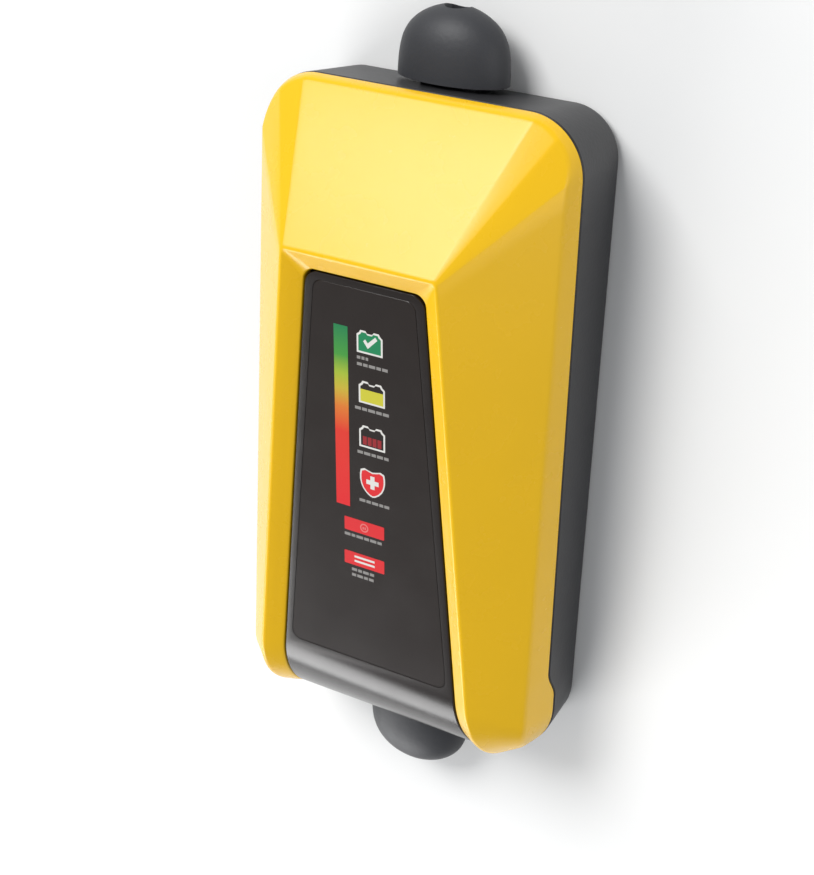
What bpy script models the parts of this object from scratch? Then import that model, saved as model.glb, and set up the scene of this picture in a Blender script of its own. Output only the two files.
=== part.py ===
"""Automatic battery charger for 6 V and 12 V vehicle batteries, modelled as its separate pieces.

The charger lies on its back: +Z is out of the display face, +Y is towards the mains end, X is across.
The origin is on the base, at the middle of the charger. Lengths are in metres.
"""
import math

import bmesh
import bpy
import numpy as np
from mathutils import Matrix, Vector

# ---- Driving dimensions ----
GAP = 0.0003                # clearance between pieces that touch on the real object

CASE_LENGTH = 0.1195
CASE_WIDTH = 0.0608
CORNER_TOP = 0.010          # plan radius of the two corners at the mains end
CORNER_LOW = 0.0108          # plan radius of the two corners at the output end
CASE_WALL = 0.0026
CASE_FLOOR = 0.0025
CASE_DRAFT = 0.0012         # how far the back case narrows from its rim to its base
BASE_ROUND = 0.0018

PARTING_HEIGHT = 0.0148     # parting line above the base, at mid length
PARTING_SLOPE = 0.025
SKIRT_DROP = 0.0028         # the parting line steps down by this round the output end
SKIRT_LENGTH = 0.0195
SKIRT_RUN = 0.006

COVER_WALL = 0.0022
FOLD_HEIGHT = 0.020         # height at which the side wall turns into the sloping side
FOLD_INSET = 0.0010
FOLD_ROUND = 0.0014
RIDGE_HEIGHT = 0.0347       # highest line of the cover, at the mains end of the frame
RIDGE_SLOPE = 0.079
TOP_SLOPE_RUN = 0.0252      # length of the long sloping face at the mains end
RIDGE_HALF_WIDTH = 0.0149   # half the frame's width at its highest line
FRAME_TAPER = 0.0871        # growth of that half width for each metre towards the output end
RIDGE_CORNER = 0.0015
END_RUN = 0.0155            # length over which the display rolls down over the output end

OUTER_BAND = 0.0022         # frame's two bands that step down from the ridge to the display
OUTER_BAND_DEPTH = 0.0015
INNER_BAND = 0.0012
INNER_BAND_DEPTH = 0.0008
LEDGE_CORNER = 0.0022
LIP_CORNER = 0.0028
LIP_THICKNESS = 0.0020
END_LIP_DEPTH = 0.0004      # the display stands this deep where the roll meets the parting line
FOOT_STEPS = (0.0016, 0.0012, 0.0008)   # how far beyond the frame's foot each line of the side wall starts
UNDER_RIDGE_DEPTH = 0.0040  # the cover's inner face below the ridge, and how far outside the ridge it lies
UNDER_RIDGE_OUT = 0.0008
UNDER_RIDGE_LOW_INSET = 0.0018
FOLD_INSIDE_DROP = 0.0010   # the fold's inner corner below its outer one

PANEL_FLANGE = 0.0015       # the display panel's edge that is held under the cover's lip
PANEL_FLANGE_THICKNESS = 0.0011
PANEL_PLATE = 0.0016
PANEL_TOP_TURNS = (30, 60, 84)  # angles round the panel's top corners at which it has a cross-section
OVERLAY_THICKNESS = 0.0004
OVERLAY_MARGIN = 0.0016     # between the overlay's edge and the panel's edge
OVERLAY_CORNER = 0.0018

LIGHT_ROWS = (0.0204, 0.0112, 0.0026, -0.0058, -0.0150, -0.0218)   # centre of each light, along Y
LIGHT_COLUMN = 0.0014       # centre of the lights, across
LIGHT_POST_RADIUS = 0.0012
LIGHT_BAR_WIDTH = 0.0060
LIGHT_BAR_THICKNESS = 0.0020
LIGHT_BAR_SPARE = 0.0060    # length of the bar beyond its first and last posts
LIGHT_POCKET_SPARE = (0.0030, 0.0100, 0.0060)   # pocket's width and length beyond the bar's, and its depth
LIGHT_HOLE_CLEARANCE = 0.0004
LED_SIZE = (0.0020, 0.0016, 0.0010)
DISPLAY_BOARD_WIDTH = 0.0170
DISPLAY_BOARD_SPARE = 0.0100
LINK_SIZE = (0.0026, 0.0050)
LINK_FROM_EDGE = (0.0030, -0.0020)      # header's place from the display board's corner
BOARD_THICKNESS = 0.0016

SEAL_WIDTH = 0.0010
SEAL_HEIGHT = 0.0010
SEAL_OUTER_WALL = 0.0007    # wall left outside the seal's groove

PILLAR_X = 0.0230           # the four case screws
PILLAR_Y = 0.0450
PILLAR_RADIUS = 0.0037
PILLAR_TOP = 0.0085
BOSS_RADIUS = 0.0031
SCREW_RADIUS = 0.0014
SCREW_HEAD_RADIUS = 0.0024
SCREW_HEAD_HEIGHT = 0.0020
SCREW_HEAD_DEPTH = 0.0030   # from the base up to the head
SCREW_REACH = 0.0120        # length of shank inside the cover's boss
SCREW_POINT = 0.0010
RECESS_RADIUS_SHARE = 0.45  # the driver's recess, as shares of the head
RECESS_DEPTH_SHARE = 0.5
BOSS_BORE_SPARE = 0.0025    # depth of the boss's bore beyond the screw's point
BOSS_TOP_SHARE = 0.7        # how much of the cover's wall is left above a boss's top face

BOARD_HALF_WIDTH = 0.0250
BOARD_HALF_LENGTH = 0.0440
BOARD_HEIGHT = 0.0065
BOARD_POST_X = 0.0220
BOARD_POST_Y = 0.0355
BOARD_POST_RADIUS = 0.0030
BOARD_SCREW_RADIUS = 0.0011
BOARD_SCREW_HEAD = (0.0023, 0.0016)
BOARD_SCREW_LENGTH = 0.0050
BOARD_SCREW_POINT = 0.0006
BOARD_NOTCH = 0.0008        # between the board's cut corner and a pillar
SHEET_THICKNESS = 0.0004    # insulation sheet under the board
SHEET_ABOVE_FLOOR = 0.0010
SHEET_CORNER = 0.0020
SHEET_SIDE_CLEARANCE = 0.0010
SHEET_END_CLEARANCE = 0.0055
POST_ROOT = 0.0005          # how far the posts reach down into the floor

GLAND_HALF_WIDTH = 0.0104
GLAND_REACH = 0.0127
GLAND_HALF_HEIGHT = 0.0060
GLAND_HEIGHT = 0.0063
GLAND_TURNS = (0, 15, 30, 45, 60, 72, 82)   # angles up the nose at which it has a cross-section
NECK_SIZE = (0.0100, 0.0052)
NECK_HEIGHT = 0.0060
NECK_OVERLAP = (0.0005, 0.0020)     # how far the neck reaches into the flange and into the nose
FLANGE_SIZE = (0.0140, 0.0018, 0.0056)
CORD_HOLE_RADIUS = 0.0022
CLAMP_SIZE = (0.0170, 0.0046, 0.0022)
CLAMP_HEIGHT = 0.0058
CLAMP_SPACING = 0.0120
CLAMP_POST_RADIUS = 0.0021
CLAMP_FROM_WALL = 0.0070
CLAMP_SCREW_LENGTH = 0.0040
CLAMP_GROOVE_RADIUS = 0.0024
CLAMP_GROOVE_DROP = 0.0008  # the groove's middle below the clamp's underside

LABEL_SIZE = (0.0340, 0.0560)
LABEL_CORNER = 0.0020
LABEL_THICKNESS = 0.0003
LABEL_RECESS = 0.0008

# Parts that stand on the main board: size or radius and height, then the place.
CONNECTOR_SIZE = (0.0080, 0.0060, 0.0070)
CONNECTOR_Y = 0.0395
FUSE_RADIUS = 0.0019
FUSE_HALF_LENGTH = 0.0052
FUSE_LIFT = 0.0002
FUSE_PLACE = (-0.0125, 0.0395)
VARISTOR = (0.0044, 0.0034)         # radius and thickness
VARISTOR_PLACE = (0.0125, 0.0395)
Y_CAPACITOR = (0.0034, 0.0028)
Y_CAPACITOR_PLACE = (0.0125, 0.0120)
DISC_LIFT = 0.0006
X_CAPACITOR_SIZE = (0.0120, 0.0056, 0.0100)
X_CAPACITOR_PLACE = (-0.0125, 0.0310)
BRIDGE_SIZE = (0.0080, 0.0062, 0.0030)
BRIDGE_PLACE = (0.0145, 0.0310)
CHOKE_RING = 0.0044
CHOKE_THICK = 0.0020
CHOKE_PLACE = (0.0155, 0.0208)
BULK_CAPACITOR = (0.0058, 0.0145)   # radius and height
BULK_CAPACITOR_PLACE = (-0.0160, 0.0200)
OUTPUT_CAPACITOR = (0.0040, 0.0110)
OUTPUT_CAPACITOR_PLACES = ((-0.0095, -0.0090), (0.0005, -0.0090))
TRANSFORMER_PLACE = (0.0, 0.0200)
CORE_SIZE = (0.0180, 0.0060, 0.0122)
CORE_LEG = 0.0042
CORE_YOKE = 0.0021
CORE_WINDOW_CLEARANCE = 0.0004
CORE_CUT = 0.0100
WINDING_LENGTH = 0.0140
HEAT_SINK_SIZE = (0.0150, 0.0105)   # length and height
HEAT_SINK_SHEET = 0.0012
HEAT_SINK_FOOT = 0.0030
TRANSISTOR_SINK_PLACE = (0.0205, 0.0020)
DIODE_SINK_PLACE = (-0.0205, -0.0130)
PACKAGE_DEPTH = 0.0042
PACKAGE_HEIGHT = 0.0064
PACKAGE_HALF_WIDTH = 0.0048
PACKAGE_TAB = (0.0012, 0.0096)      # thickness, and height of its top
OPTOCOUPLER_SIZE = (0.0062, 0.0046, 0.0034)
OPTOCOUPLER_PLACE = (0.0, 0.0060)
INDUCTOR_PLACE = (0.0130, -0.0130)
INDUCTOR_PROFILE = (
    (0.0042, 0), (0.0042, 0.0012), (0.0032, 0.0018), (0.0032, 0.0058), (0.0042, 0.0064), (0.0042, 0.0076))
CONTROLLER_SIZE = (0.0100, 0.0060, 0.0018)
CONTROLLER_PLACE = (0.0030, -0.0250)
OUTPUT_TRANSISTOR_SIZE = (0.0066, 0.0062, 0.0024)
OUTPUT_TRANSISTOR_PLACE = (-0.0125, -0.0280)
# ---- Sizes that follow from them ----
HALF_LENGTH = CASE_LENGTH / 2
HALF_WIDTH = CASE_WIDTH / 2
RIDGE_TOP_Y = HALF_LENGTH - TOP_SLOPE_RUN
END_START_Y = -HALF_LENGTH + END_RUN
LIP_INSET = OUTER_BAND + INNER_BAND
LIP_DEPTH = OUTER_BAND_DEPTH + INNER_BAND_DEPTH
SLOPE_ANGLE = math.atan(RIDGE_SLOPE)
BOARD_TOP = BOARD_HEIGHT + BOARD_THICKNESS

OVERCUT = 0.001             # how far a cutter stands out of the wall that it cuts
CORNER_STEPS = 6
END_STEPS = 8
SIDE_FRACTIONS = (0.0, 0.015, 0.03, 0.045, 0.06, 0.075, 0.12, 0.3, 0.5, 0.75, 1.0)


# ---- Making meshes and objects ----
def clear_scene():
    for obj in list(bpy.data.objects):
        bpy.data.objects.remove(obj, do_unlink=True)


def material(name, colour, roughness, metallic=0.0):
    made = bpy.data.materials.get(name)
    if made:
        return made
    made = bpy.data.materials.new(name)
    made.use_nodes = True
    shader = made.node_tree.nodes["Principled BSDF"]
    shader.inputs["Base Color"].default_value = (*colour, 1.0)
    shader.inputs["Roughness"].default_value = roughness
    shader.inputs["Metallic"].default_value = metallic
    made.diffuse_color = (*colour, 1.0)
    return made


def add_object(name, points, faces, finish=None, parent=None):
    mesh = bpy.data.meshes.new(name)
    mesh.from_pydata([tuple(point) for point in points], [], faces)
    shell = bmesh.new()
    shell.from_mesh(mesh)
    bmesh.ops.recalc_face_normals(shell, faces=shell.faces)
    shell.to_mesh(mesh)
    shell.free()
    mesh.shade_smooth()
    mesh.set_sharp_from_angle(angle=math.radians(30))
    obj = bpy.data.objects.new(name, mesh)
    bpy.context.scene.collection.objects.link(obj)
    if finish:
        mesh.materials.append(finish)
    obj.parent = parent
    return obj


def loft(name, rings, finish=None, cyclic=False, parent=None):
    """A closed body through rings of equally many points: capped at both ends, or joined into a loop."""
    count = len(rings[0])
    points = [point for ring in rings for point in ring]
    faces = []
    spans = len(rings) if cyclic else len(rings) - 1
    for i in range(spans):
        here = i * count
        there = (i + 1) % len(rings) * count
        for j in range(count):
            after = (j + 1) % count
            faces.append((here + j, here + after, there + after, there + j))
    if not cyclic:
        faces.append(tuple(range(count)))
        faces.append(tuple(range(len(points) - count, len(points))))
    return add_object(name, points, faces, finish, parent)


def box(name, size, centre, finish=None, parent=None):
    x, y, z = (length / 2 for length in size)
    rings = []
    for height in (-z, z):
        ring = ((-x, -y), (x, -y), (x, y), (-x, y))
        rings.append([(centre[0] + px, centre[1] + py, centre[2] + height) for px, py in ring])
    return loft(name, rings, finish, parent=parent)


def turned(name, profile, centre, finish=None, axis="Z", parent=None, steps=16):
    """A body turned about a line through centre: profile lists (radius, place along the line)."""
    rings = []
    for radius, along in profile:
        ring = []
        for step in range(steps):
            angle = 2 * math.pi * step / steps
            across, up = radius * math.cos(angle), radius * math.sin(angle)
            spot = {"X": (along, across, up), "Y": (across, along, up), "Z": (across, up, along)}[axis]
            ring.append(Vector(centre) + Vector(spot))
        rings.append(ring)
    return loft(name, rings, finish, parent=parent)


def helper(obj):
    obj.hide_render = True
    obj.display_type = "WIRE"
    return obj


def boolean(target, tool, operation):
    modifier = target.modifiers.new(operation.lower(), "BOOLEAN")
    modifier.operation = operation
    modifier.object = helper(tool)


def cut(target, *tools):
    for tool in tools:
        boolean(target, tool, "DIFFERENCE")


def unite(target, *tools):
    for tool in tools:
        boolean(target, tool, "UNION")


# ---- Outlines and heights that several pieces share ----
def smooth_step(value):
    value = min(max(value, 0.0), 1.0)
    return value * value * (3 - 2 * value)


def parting(y):
    """Height of the parting line, which slopes gently and steps down round the output end."""
    step = smooth_step((-HALF_LENGTH + SKIRT_LENGTH - y) / SKIRT_RUN)
    return PARTING_HEIGHT + PARTING_SLOPE * y - SKIRT_DROP * step


def ridge(y):
    return RIDGE_HEIGHT - RIDGE_SLOPE * (RIDGE_TOP_Y - y)


def ridge_half_width(y):
    return RIDGE_HALF_WIDTH + FRAME_TAPER * (RIDGE_TOP_Y - y)


def corner_arc(radius, middle, start, end, steps):
    angles = np.linspace(math.radians(start), math.radians(end), steps + 1)
    return [(middle[0] + radius * math.cos(a), middle[1] + radius * math.sin(a)) for a in angles]


def corner_share(step):
    """How far a line has risen from the parting line, at this step round the output corner."""
    return math.sin(math.radians(90 * min(step / END_STEPS, 1.0)))


def half_outline(inset, low_angle=-90.0, foot_inset=None):
    """Right half of the case's plan, inset: from the output end, round both corners, to the mains end.

    Round the output corner the inset may grow from foot_inset to its full value.
    """
    foot_inset = inset if foot_inset is None else foot_inset
    low_centre = (HALF_WIDTH - CORNER_LOW, -HALF_LENGTH + CORNER_LOW)
    top_centre = (HALF_WIDTH - CORNER_TOP, HALF_LENGTH - CORNER_TOP)
    low = []
    for step in range(END_STEPS + 1):
        angle = math.radians(low_angle * (1 - step / END_STEPS))
        radius = CORNER_LOW - foot_inset - (inset - foot_inset) * corner_share(step)
        low.append((low_centre[0] + radius * math.cos(angle), low_centre[1] + radius * math.sin(angle)))
    top = corner_arc(CORNER_TOP - inset, top_centre, 0, 90, CORNER_STEPS)
    run = top_centre[1] - low_centre[1]
    side = [(HALF_WIDTH - inset, low_centre[1] + run * share) for share in SIDE_FRACTIONS[1:-1]]
    return low + side + top


def case_outline(inset):
    right = half_outline(inset)
    return right + [(-x, y) for x, y in reversed(right)]


def ring_at(inset, height):
    return [(x, y, height(y) if callable(height) else height) for x, y in case_outline(inset)]


def rounded_rectangle(width, length, radius, centre=(0.0, 0.0), steps=4):
    x, y = width / 2 - radius, length / 2 - radius
    corners = ((x, -y, -90), (x, y, 0), (-x, y, 90), (-x, -y, 180))
    return [
        (centre[0] + px, centre[1] + py)
        for cx, cy, start in corners
        for px, py in corner_arc(radius, (cx, cy), start, start + 90, steps)
    ]


def end_reach(x):
    """From the start of the roll to the case's outline, along Y, at this distance from the middle."""
    over = max(0.0, x - (HALF_WIDTH - CORNER_LOW))
    return END_RUN - CORNER_LOW + math.sqrt(CORNER_LOW ** 2 - over ** 2)


def settled(depth, turn):
    """Depth below the ridge on the roll: the display comes up almost level with the frame at the parting line."""
    at_foot = END_LIP_DEPTH * min(depth / LIP_DEPTH, 1.0) + max(depth - LIP_DEPTH, 0.0)
    share = math.sin(math.radians(turn))
    return at_foot + (depth - at_foot) * share


def rolled(x, turn, depth, foot):
    """A point on the roll over the output end: turn 0 is at the parting line, 90 where the frame starts."""
    angle = math.radians(turn)
    below = settled(depth, turn)
    y = END_START_Y - (end_reach(x) - below) * math.cos(angle)
    return y, foot + (ridge(y) - below - foot) * math.sin(angle)


# ---- Casing ----
def frame_half(inset, depth, corner, foot, low_inset=None):
    """Right half of a line that follows the frame: up over the output end, along, and round the top corner.

    The line lies inset from the ridge and depth below it. low_inset is the inset at the output end.
    """
    low_inset = inset if low_inset is None else low_inset
    points = []
    for turn in np.linspace(0, 90, END_STEPS + 1):
        share = turn / 90
        place = low_inset * (1 - share) + inset * share
        x = ridge_half_width(-HALF_LENGTH) - place
        y, z = rolled(x, turn, depth, foot)
        points.append((ridge_half_width(y) - place, y, z))
    top_y = RIDGE_TOP_Y - inset - corner
    for share in SIDE_FRACTIONS[1:-1]:
        y = END_START_Y + (top_y - END_START_Y) * share
        points.append((ridge_half_width(y) - inset, y, ridge(y) - depth))
    middle = (ridge_half_width(top_y) - inset - corner, top_y)
    for x, y in corner_arc(corner, middle, 0, 90, CORNER_STEPS):
        points.append((x, y, ridge(y) - depth))
    return points


def cover_foot(y):
    return parting(y) + GAP


def rim_half(inset, height, low_angle, foot_inset=0.0):
    """Right half of a line round the cover's side: it falls to the parting line round the output corner."""
    points = []
    for step, (x, y) in enumerate(half_outline(inset, low_angle, foot_inset)):
        full = height(y) if callable(height) else height
        points.append((x, y, cover_foot(y) + (full - cover_foot(y)) * corner_share(step)))
    return points


def cover_sections():
    """Cross-sections of the cover's wall, from the output end round the frame to the other side of it."""
    foot = cover_foot(-HALF_LENGTH)
    meeting = ridge_half_width(-HALF_LENGTH) - (HALF_WIDTH - CORNER_LOW)
    low_angle = [
        -math.degrees(math.acos((meeting + step) / CORNER_LOW)) for step in FOOT_STEPS
    ]
    lines = [
        rim_half(0, cover_foot, low_angle[0]),
        rim_half(FOLD_INSET * 0.6, FOLD_HEIGHT - FOLD_ROUND, low_angle[1]),
        rim_half(FOLD_INSET + FOLD_ROUND * 0.6, FOLD_HEIGHT + FOLD_ROUND * 0.6, low_angle[2]),
        frame_half(0, 0, RIDGE_CORNER, foot),
        frame_half(OUTER_BAND, OUTER_BAND_DEPTH, LEDGE_CORNER, foot),
        frame_half(LIP_INSET, LIP_DEPTH, LIP_CORNER, foot),
        frame_half(LIP_INSET, LIP_DEPTH + LIP_THICKNESS, LIP_CORNER, foot),
        frame_half(-UNDER_RIDGE_OUT, UNDER_RIDGE_DEPTH, RIDGE_CORNER, foot, UNDER_RIDGE_LOW_INSET),
        rim_half(COVER_WALL + FOLD_INSET, FOLD_HEIGHT - FOLD_INSIDE_DROP, low_angle[2], COVER_WALL),
        rim_half(COVER_WALL, cover_foot, low_angle[1], COVER_WALL),
    ]
    right = list(zip(*lines))
    centre = [tuple((0.0, y, z) for x, y, z in right[-1])]
    left = [tuple((-x, y, z) for x, y, z in section) for section in reversed(right)]
    return right + centre + left


def shell_height(x, y):
    """Height of the cover's outer faces above a point near a corner: the lower of the side and top slopes."""
    fold_half = HALF_WIDTH - FOLD_INSET
    side_slope = (RIDGE_HEIGHT - FOLD_HEIGHT) / (fold_half - RIDGE_HALF_WIDTH)
    top_slope = (RIDGE_HEIGHT - FOLD_HEIGHT) / (TOP_SLOPE_RUN - FOLD_INSET)
    side = FOLD_HEIGHT + side_slope * (fold_half - abs(x))
    top = FOLD_HEIGHT + top_slope * (HALF_LENGTH - FOLD_INSET - y)
    return min(side, top, ridge(y))


def slanted_boss(name, x, y, radius, low):
    """A post whose top follows the cover's slope, a little inside its wall."""
    steps = 16
    outline = corner_arc(radius, (x, y), 0, 360 - 360 / steps, steps - 1)
    floor = [(px, py, low) for px, py in outline]
    roof = [(px, py, shell_height(px, py) - COVER_WALL * BOSS_TOP_SHARE) for px, py in outline]
    return loft(name, [floor, roof])


def screw_places():
    return [(sx * PILLAR_X, sy * PILLAR_Y) for sy in (1, -1) for sx in (-1, 1)]


def make_front_cover():
    yellow = material("yellow_gloss_plastic", (0.86, 0.56, 0.03), 0.25)
    cover = loft("front_cover", cover_sections(), yellow)
    room = loft("panel_room", panel_sections(GAP))
    for i, (x, y) in enumerate(screw_places()):
        boss = slanted_boss(f"boss_{i}", x, y, BOSS_RADIUS, PILLAR_TOP + GAP)
        cut(boss, room)
        unite(cover, boss)
    bore = SCREW_RADIUS + GAP
    top = SCREW_HEAD_DEPTH + SCREW_HEAD_HEIGHT + SCREW_REACH + BOSS_BORE_SPARE
    for i, (x, y) in enumerate(screw_places()):
        profile = [(bore, PILLAR_TOP - OVERCUT), (bore, top)]
        cut(cover, turned(f"boss_bore_{i}", profile, (x, y, 0)))
    return cover


def make_back_case():
    black = material("black_matt_plastic", (0.018, 0.018, 0.020), 0.55)
    groove_in = SEAL_OUTER_WALL + SEAL_WIDTH + 2 * GAP
    groove_floor = SEAL_HEIGHT + GAP
    base = CASE_DRAFT + BASE_ROUND
    rings = [
        ring_at(base, 0.0),
        ring_at(CASE_DRAFT + BASE_ROUND * 0.3, BASE_ROUND * 0.3),
        ring_at(CASE_DRAFT, BASE_ROUND),
        ring_at(0, parting),
        ring_at(SEAL_OUTER_WALL, parting),
        ring_at(SEAL_OUTER_WALL, lambda y: parting(y) - groove_floor),
        ring_at(groove_in, lambda y: parting(y) - groove_floor),
        ring_at(groove_in, parting),
        ring_at(CASE_WALL, parting),
        ring_at(CASE_WALL + CASE_DRAFT * 0.5, CASE_FLOOR),
    ]
    case = loft("back_case", rings, black)
    floor_inside = CASE_FLOOR - POST_ROOT
    post_bore = BOARD_SCREW_RADIUS + GAP
    for i, (x, y) in enumerate(screw_places()):
        unite(case, turned(f"pillar_{i}", [(PILLAR_RADIUS, floor_inside), (PILLAR_RADIUS, PILLAR_TOP)], (x, y, 0)))
    for i, (x, y) in enumerate(board_screw_places()):
        post = [(BOARD_POST_RADIUS, floor_inside), (BOARD_POST_RADIUS, BOARD_HEIGHT - GAP)]
        unite(case, turned(f"board_post_{i}", post, (x, y, 0), steps=12))
    for i, (x, y) in enumerate(clamp_screw_places()):
        post = [(CLAMP_POST_RADIUS, floor_inside), (CLAMP_POST_RADIUS, CLAMP_HEIGHT - GAP)]
        unite(case, turned(f"clamp_post_{i}", post, (x, y, 0), steps=12))
    for i, (x, y) in enumerate(screw_places()):
        head = SCREW_HEAD_RADIUS + GAP
        head_seat = SCREW_HEAD_DEPTH + SCREW_HEAD_HEIGHT + GAP
        bore = SCREW_RADIUS + GAP
        steps = [(head, -OVERCUT), (head, head_seat), (bore, head_seat), (bore, PILLAR_TOP + OVERCUT)]
        cut(case, turned(f"counterbore_{i}", steps, (x, y, 0)))
    blind = [(post_bore, CASE_FLOOR), (post_bore, BOARD_HEIGHT + OVERCUT)]
    for i, (x, y) in enumerate(board_screw_places() + clamp_screw_places()):
        cut(case, turned(f"post_bore_{i}", blind, (x, y, 0), steps=12))
    for side in (-1, 1):
        hole = (NECK_SIZE[0] + 2 * GAP, CASE_WALL * 4, NECK_SIZE[1] + 2 * GAP)
        cut(case, box(f"gland_hole_{side}", hole, (0, side * HALF_LENGTH, NECK_HEIGHT)))
    recess = rounded_rectangle(LABEL_SIZE[0] + 2 * GAP, LABEL_SIZE[1] + 2 * GAP, LABEL_CORNER)
    cut(case, loft("label_recess", [[(x, y, z) for x, y in recess] for z in (-OVERCUT, LABEL_RECESS)]))
    return case


def make_case_seal():
    rubber = material("seal_rubber", (0.03, 0.03, 0.032), 0.7)
    outer = SEAL_OUTER_WALL + GAP
    inner = outer + SEAL_WIDTH
    rings = [
        ring_at(outer, lambda y: parting(y) - SEAL_HEIGHT),
        ring_at(outer, parting),
        ring_at(inner, parting),
        ring_at(inner, lambda y: parting(y) - SEAL_HEIGHT),
    ]
    return loft("case_seal", rings, rubber, cyclic=True)


def make_case_screws():
    steel = material("screw_steel", (0.55, 0.55, 0.56), 0.35, 1.0)
    head_top = SCREW_HEAD_DEPTH + SCREW_HEAD_HEIGHT
    recess = SCREW_HEAD_RADIUS * RECESS_RADIUS_SHARE
    profile = [
        (recess, SCREW_HEAD_DEPTH + SCREW_HEAD_HEIGHT * RECESS_DEPTH_SHARE),
        (recess, SCREW_HEAD_DEPTH),
        (SCREW_HEAD_RADIUS * 0.85, SCREW_HEAD_DEPTH),
        (SCREW_HEAD_RADIUS, SCREW_HEAD_DEPTH + SCREW_HEAD_HEIGHT * 0.3),
        (SCREW_HEAD_RADIUS, head_top),
        (SCREW_RADIUS, head_top),
        (SCREW_RADIUS, head_top + SCREW_REACH - SCREW_POINT),
        (SCREW_RADIUS * 0.4, head_top + SCREW_REACH),
    ]
    for i, (x, y) in enumerate(screw_places(), 1):
        turned(f"case_screw_{i}", profile, (x, y, 0), steel)


def make_rating_label():
    paper = material("label_silver", (0.62, 0.63, 0.64), 0.4)
    outline = rounded_rectangle(*LABEL_SIZE, LABEL_CORNER)
    low = LABEL_RECESS - GAP - LABEL_THICKNESS
    rings = [[(x, y, z) for x, y in outline] for z in (low, low + LABEL_THICKNESS)]
    return loft("rating_label", rings, paper)


# ---- Display ----
def panel_half_width(y):
    return ridge_half_width(y) - LIP_INSET - GAP


def panel_sections(grown=0.0):
    """T-shaped cross-sections of the display panel, from the output end to the rounded top edge.

    Grown sections are wider by grown on each side, and deeper by it above and below: the room that the panel needs.
    """
    foot = cover_foot(-HALF_LENGTH)
    plate, under = LIP_DEPTH, LIP_DEPTH + LIP_THICKNESS + GAP - grown
    bottom = under + PANEL_FLANGE_THICKNESS + 2 * grown
    sections = []

    def section(place, width):
        width += grown
        half = [(width, plate), (width, under), (width + PANEL_FLANGE, under), (width + PANEL_FLANGE, bottom)]
        right = [(x, *place(x, depth)) for x, depth in half]
        return right + [(-x, y, z) for x, y, z in reversed(right)]

    low_width = panel_half_width(-HALF_LENGTH)
    for turn in np.linspace(0, 90, END_STEPS + 1):
        def on_roll(x, depth, turn=turn):
            return rolled(x, turn, depth, foot)
        sections.append(section(on_roll, panel_half_width(on_roll(low_width, plate)[0])))
    radius = LIP_CORNER - GAP
    top = RIDGE_TOP_Y - LIP_INSET - GAP
    for y in np.linspace(END_START_Y, top - radius, 4)[1:]:
        sections.append(section(lambda x, depth, y=y: (y, ridge(y) - depth), panel_half_width(y)))
    for angle in PANEL_TOP_TURNS:
        y = top - radius + radius * math.sin(math.radians(angle))
        width = panel_half_width(y) - radius * (1 - math.cos(math.radians(angle)))
        sections.append(section(lambda x, depth, y=y: (y, ridge(y) - depth), width))
    return sections


def display_plane():
    """Empty at the display's surface in mid length, tilted with it: the pieces behind the display hang on it."""
    plane = bpy.data.objects.new("display_plane", None)
    plane.location = (0, 0, ridge(0) - LIP_DEPTH)
    plane.rotation_euler = (SLOPE_ANGLE, 0, 0)
    bpy.context.scene.collection.objects.link(plane)
    return plane


def slanted_outline(margin, radius):
    """The flat part of the display, inset by margin: a tapered shape with round corners, in the display's plane."""
    stretch = 1 / math.cos(SLOPE_ANGLE)
    low, high = (END_START_Y + margin) * stretch, (RIDGE_TOP_Y - LIP_INSET - margin) * stretch
    narrow, wide = panel_half_width(high) - margin, panel_half_width(low) - margin
    top = corner_arc(radius, (narrow - radius, high - radius), 0, 90, 4)
    bottom = corner_arc(radius, (wide - radius, low + radius), -90, 0, 4)
    right = bottom + top
    return right + [(-x, y) for x, y in reversed(right)]


def plate_between(name, outline, low, high, finish=None, parent=None):
    return loft(name, [[(x, y, z) for x, y in outline] for z in (low, high)], finish, parent=parent)


def light_places():
    stretch = 1 / math.cos(SLOPE_ANGLE)
    return [(LIGHT_COLUMN, row * stretch) for row in LIGHT_ROWS]


def light_bar_span():
    rows = [y for _, y in light_places()]
    return (rows[0] + rows[-1]) / 2, rows[0] - rows[-1]


def make_display(plane):
    black = material("panel_black", (0.02, 0.017, 0.016), 0.3)
    panel = loft("display_panel", panel_sections(), black)
    recess_floor = -OVERLAY_THICKNESS - GAP
    plate_floor = recess_floor - PANEL_PLATE
    outline = slanted_outline(OVERLAY_MARGIN, OVERLAY_CORNER)
    recess = slanted_outline(OVERLAY_MARGIN - GAP, OVERLAY_CORNER + GAP)
    cut(panel, plate_between("overlay_recess", recess, recess_floor, OVERCUT, parent=plane))
    middle, span = light_bar_span()
    extra_width, extra_length, pocket_depth = LIGHT_POCKET_SPARE
    pocket = (LIGHT_BAR_WIDTH + extra_width, span + extra_length, pocket_depth)
    centre = (LIGHT_COLUMN, middle, plate_floor - pocket_depth / 2)
    cut(panel, box("light_pocket", pocket, centre, parent=plane))
    hole = LIGHT_POST_RADIUS + LIGHT_HOLE_CLEARANCE
    for i, (x, y) in enumerate(light_places()):
        profile = [(hole, plate_floor - OVERCUT), (hole, OVERCUT)]
        cut(panel, turned(f"light_hole_{i}", profile, (x, y, 0), parent=plane, steps=12))
    film = material("overlay_film", (0.02, 0.017, 0.016), 0.2)
    plate_between("display_overlay", outline, -OVERLAY_THICKNESS, 0, film, plane)
    return plate_floor


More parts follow.
